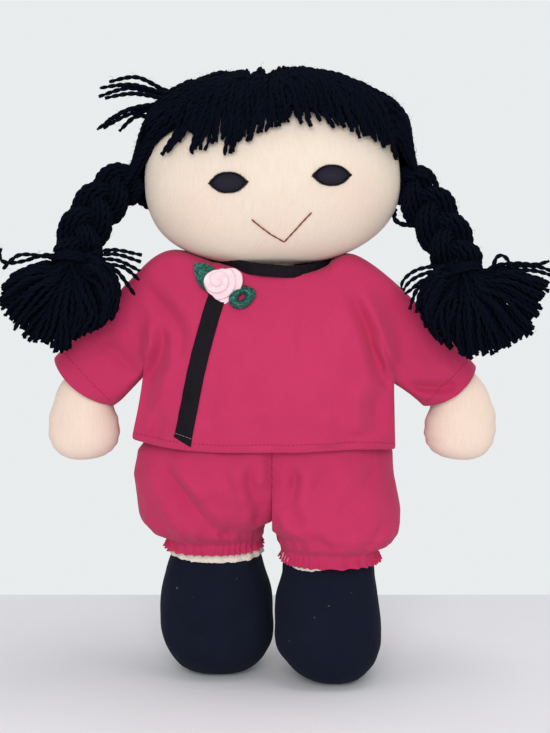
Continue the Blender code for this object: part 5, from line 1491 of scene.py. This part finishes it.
# Folds on the front of each leg: distance from the middle and height of points, half width, and depth.
bloomers_folds = {
    "right": ((((0.0600, 0.1260), (0.0540, 0.1120), (0.0420, 0.0960), (0.0300, 0.0850),
                (0.0200, 0.0790)), 0.0040, -0.0044),
              (((0.0520, 0.1270), (0.0440, 0.1130), (0.0320, 0.1010)), 0.0046, 0.0024),
              (((0.0090, 0.1270), (0.0110, 0.1120), (0.0060, 0.0980),
                (0.0070, 0.0850)), 0.0034, -0.0062),
              (((0.0260, 0.1260), (0.0240, 0.1140), (0.0180, 0.1040)), 0.0034, -0.0020),
              (((0.0640, 0.0960), (0.0580, 0.0860), (0.0500, 0.0760)), 0.0032, -0.0026),
              (((0.0200, 0.0930), (0.0230, 0.0830), (0.0240, 0.0760)), 0.0030, -0.0022),
              (((0.0420, 0.0900), (0.0400, 0.0820), (0.0380, 0.0750)), 0.0026, 0.0018)),
    "left": ((((0.0060, 0.1260), (0.0110, 0.1130), (0.0080, 0.1000), (0.0160, 0.0860)), 0.0032, -0.0050),
             (((0.0180, 0.1260), (0.0210, 0.1120), (0.0180, 0.0980)), 0.0044, 0.0014),
             (((0.0600, 0.1240), (0.0520, 0.1120), (0.0430, 0.1020), (0.0330, 0.0950)), 0.0040, -0.0016),
             (((0.0340, 0.1250), (0.0280, 0.1140), (0.0180, 0.1040)), 0.0044, -0.0014),
             (((0.0200, 0.0860), (0.0260, 0.0800), (0.0330, 0.0740)), 0.0028, -0.0028),
             (((0.0600, 0.0920), (0.0540, 0.0820), (0.0480, 0.0740)), 0.0030, -0.0022),
             (((0.0430, 0.0900), (0.0420, 0.0800), (0.0400, 0.0730)), 0.0028, 0.0018))}

for side, hand in both_sides:
    def bloomers_place(around, along):
        level = 1 - along
        rows = bloomers_sections[side]
        for upper, lower in zip(rows, rows[1:]):
            if level >= lower[0]:
                break
        part = (upper[0] - level) / (upper[0] - lower[0])
        closed, outward, inward, deep = (mixed(high, low, part) for high, low in zip(upper[1:], lower[1:]))
        height = mixed(cuff_heights[side], waist_height, level)
        across = bloomers_half_width * closed * (outward + inward) / 2
        half_width = bloomers_half_width * outward - across
        turn = math.pi / 2 * (1 + closed) * mixed(-1, 1, around)
        wide, depth = on_oval(turn, 2.4)
        x = max(across + half_width * wide, 0)
        leg_y = middle_y - hand * stride * ease((0.62 - level) / 0.62)
        spot = Vector((hand * x, leg_y + bloomers_half_depth * deep * depth, height))
        outwards = (spot - Vector((hand * max(across, 0.02), leg_y, height))).normalized()
        # Gathers run up from the cuff and down from the waist, and fade into the puffed cloth.
        phase = turn * 17 + 2.6 * math.sin(turn * 3 + hand) + 0.8 * hand
        tight = math.exp(-abs(max(level, 0.10) - 0.10) / 0.085) + 0.6 * math.exp(-abs(1 - level) / 0.10)
        band = ease((0.125 - level) / 0.03)
        wave = 0.0010 * (1 + math.sin(phase)) + 0.0005 * (1 + math.sin(phase * 2.3 + 1))
        gathers = tight * (1 - 0.7 * band) * wave
        frill = (1 + math.sin(phase * 2.1)) * (0.00055 * band + 0.0009 * ease((0.05 - level) / 0.05))
        puffed = ease((level - 0.08) / 0.14)
        bulge = lumps(spot, 0.024, 0.0022, 6 + hand) + lumps(spot, 0.010, 0.0005, 2)
        push = gathers + frill + puffed * bulge
        if depth < 0:
            push += 0.62 * puffed * fold_depth(x, height, bloomers_folds[side]) * min(1, -depth * 1.5)
        free = ease(x / 0.004)
        # The seam between the legs lies in a valley.
        valley = 0.0070 * math.exp(-(x / 0.0050) ** 2)
        valley *= ease((level - 0.10) / 0.25) * ease((1.05 - level) / 0.5)
        spot += outwards * push * free - Vector((0, math.copysign(valley, depth), 0))
        spot.x = hand * max(hand * spot.x, 0)
        return spot

    half = sew(lay_cloth(190, 58, bloomers_place), 0.0002)
    half = piece_of("bloomers_cloth_" + side, half, crimson_finish, rounds=1, thickness=0.0007)
    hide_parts("bloomers_" + side)
    hip, outward = Vector((hand * hip_across, middle_y, 0.1040)), Vector((hand * 0.349, 0, -0.937))
    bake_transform(half)


# Ribbed white elastic tape is threaded through casings at the waist and the two cuffs, and draws
# the cloth in. The three pieces keep their own shapes and only get a finish.

elastic_finish, tree, shader = new_finish("white_elastic", 0.75)
ribs = ribs_along(tree, object_axes(tree)["Z"], 5200.0)
# The colour follows the ribs: lighter on each rib and darker between them, a painted highlight and painted
# shade that go with the ribs' bump.
colour_with(tree, shader, arithmetic(tree, "MULTIPLY_ADD", ribs, 0.5, 0.5),
            (0.62, 0.58, 0.52, 1), (0.82, 0.79, 0.74, 1))
raise_surface(tree, shader, ribs, 0.6, 0.0002)
for name in ("waist_elastic", "cuff_elastic_right", "cuff_elastic_left"):
    coat(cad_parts[name].data, elastic_finish)


# The floor is a pale matt sheet that shows the doll's shadow. The pale wall behind it is a plain
# background, which also lights the doll softly, together with a lamp in front and one above.

floor_back = 0.157              # where the sheet ends behind the doll
floor_half_width, floor_half_depth = 3, 1.5
room_light, wall_shown = 0.615, 0.845           # the background's strength as a light, and as it is seen
camera_distance = 0.735

floor_finish, tree, shader = new_finish("pale_floor", 0.9, specular=0.1)
colour_with(tree, shader, grain(tree, 30), (0.765, 0.762, 0.792, 1), (0.785, 0.782, 0.812, 1))
made = bmesh.new()
bmesh.ops.create_grid(made, x_segments=1, y_segments=1, size=1,
                      matrix=Matrix.Diagonal((floor_half_width, floor_half_depth, 1, 1)))
bmesh.ops.translate(made, verts=made.verts, vec=(0, floor_back - floor_half_depth, 0))
floor = piece_of("floor", made, floor_finish)

world = bpy.data.worlds.new("studio")
bpy.context.scene.world = world
world.use_nodes = True
tree = world.node_tree
back = tree.nodes["Background"]
back.inputs["Color"].default_value = (0.965, 0.995, 1.0, 1)
path = add_node(tree, "LightPath").outputs
seen = arithmetic(tree, "MAXIMUM", path["Is Camera Ray"], path["Is Glossy Ray"])
seen = arithmetic(tree, "MAXIMUM", seen, path["Is Transmission Ray"])
strength = add_node(tree, "Mix", {0: seen, 2: room_light, 3: wall_shown}, data_type="FLOAT").outputs[0]
tree.links.new(strength, back.inputs["Strength"])


def add_lamp(name, place, target, size, power):
    """A large soft lamp that points at a target."""
    lamp = bpy.data.lights.new(name, "AREA")
    lamp.size = size
    lamp.energy = power
    thing = bpy.data.objects.new(name, lamp)
    thing.location = place
    thing.rotation_euler = (Vector(target) - Vector(place)).to_track_quat("-Z", "Y").to_euler()
    bpy.context.scene.collection.objects.link(thing)


add_lamp("front_lamp", (-0.05, -1.15, 0.55), (0, 0, 0.14), 0.6, 7.5)
add_lamp("top_lamp", (0.20, -0.10, 1.30), (0, 0, 0.16), 0.6, 4.2)

camera = bpy.data.cameras.new("camera")
camera.sensor_fit = "VERTICAL"
camera.angle = math.radians(30)
eye_point = bpy.data.objects.new("camera", camera)
aim = Vector((0.0016, 0, 0.169))
lift = math.radians(6)
eye_point.location = aim + Vector((0, -math.cos(lift), math.sin(lift))) * camera_distance
eye_point.rotation_euler = (math.pi / 2 - lift, 0, 0)
bpy.context.scene.collection.objects.link(eye_point)
bpy.context.scene.camera = eye_point
bpy.context.scene.view_settings.view_transform = "Standard"
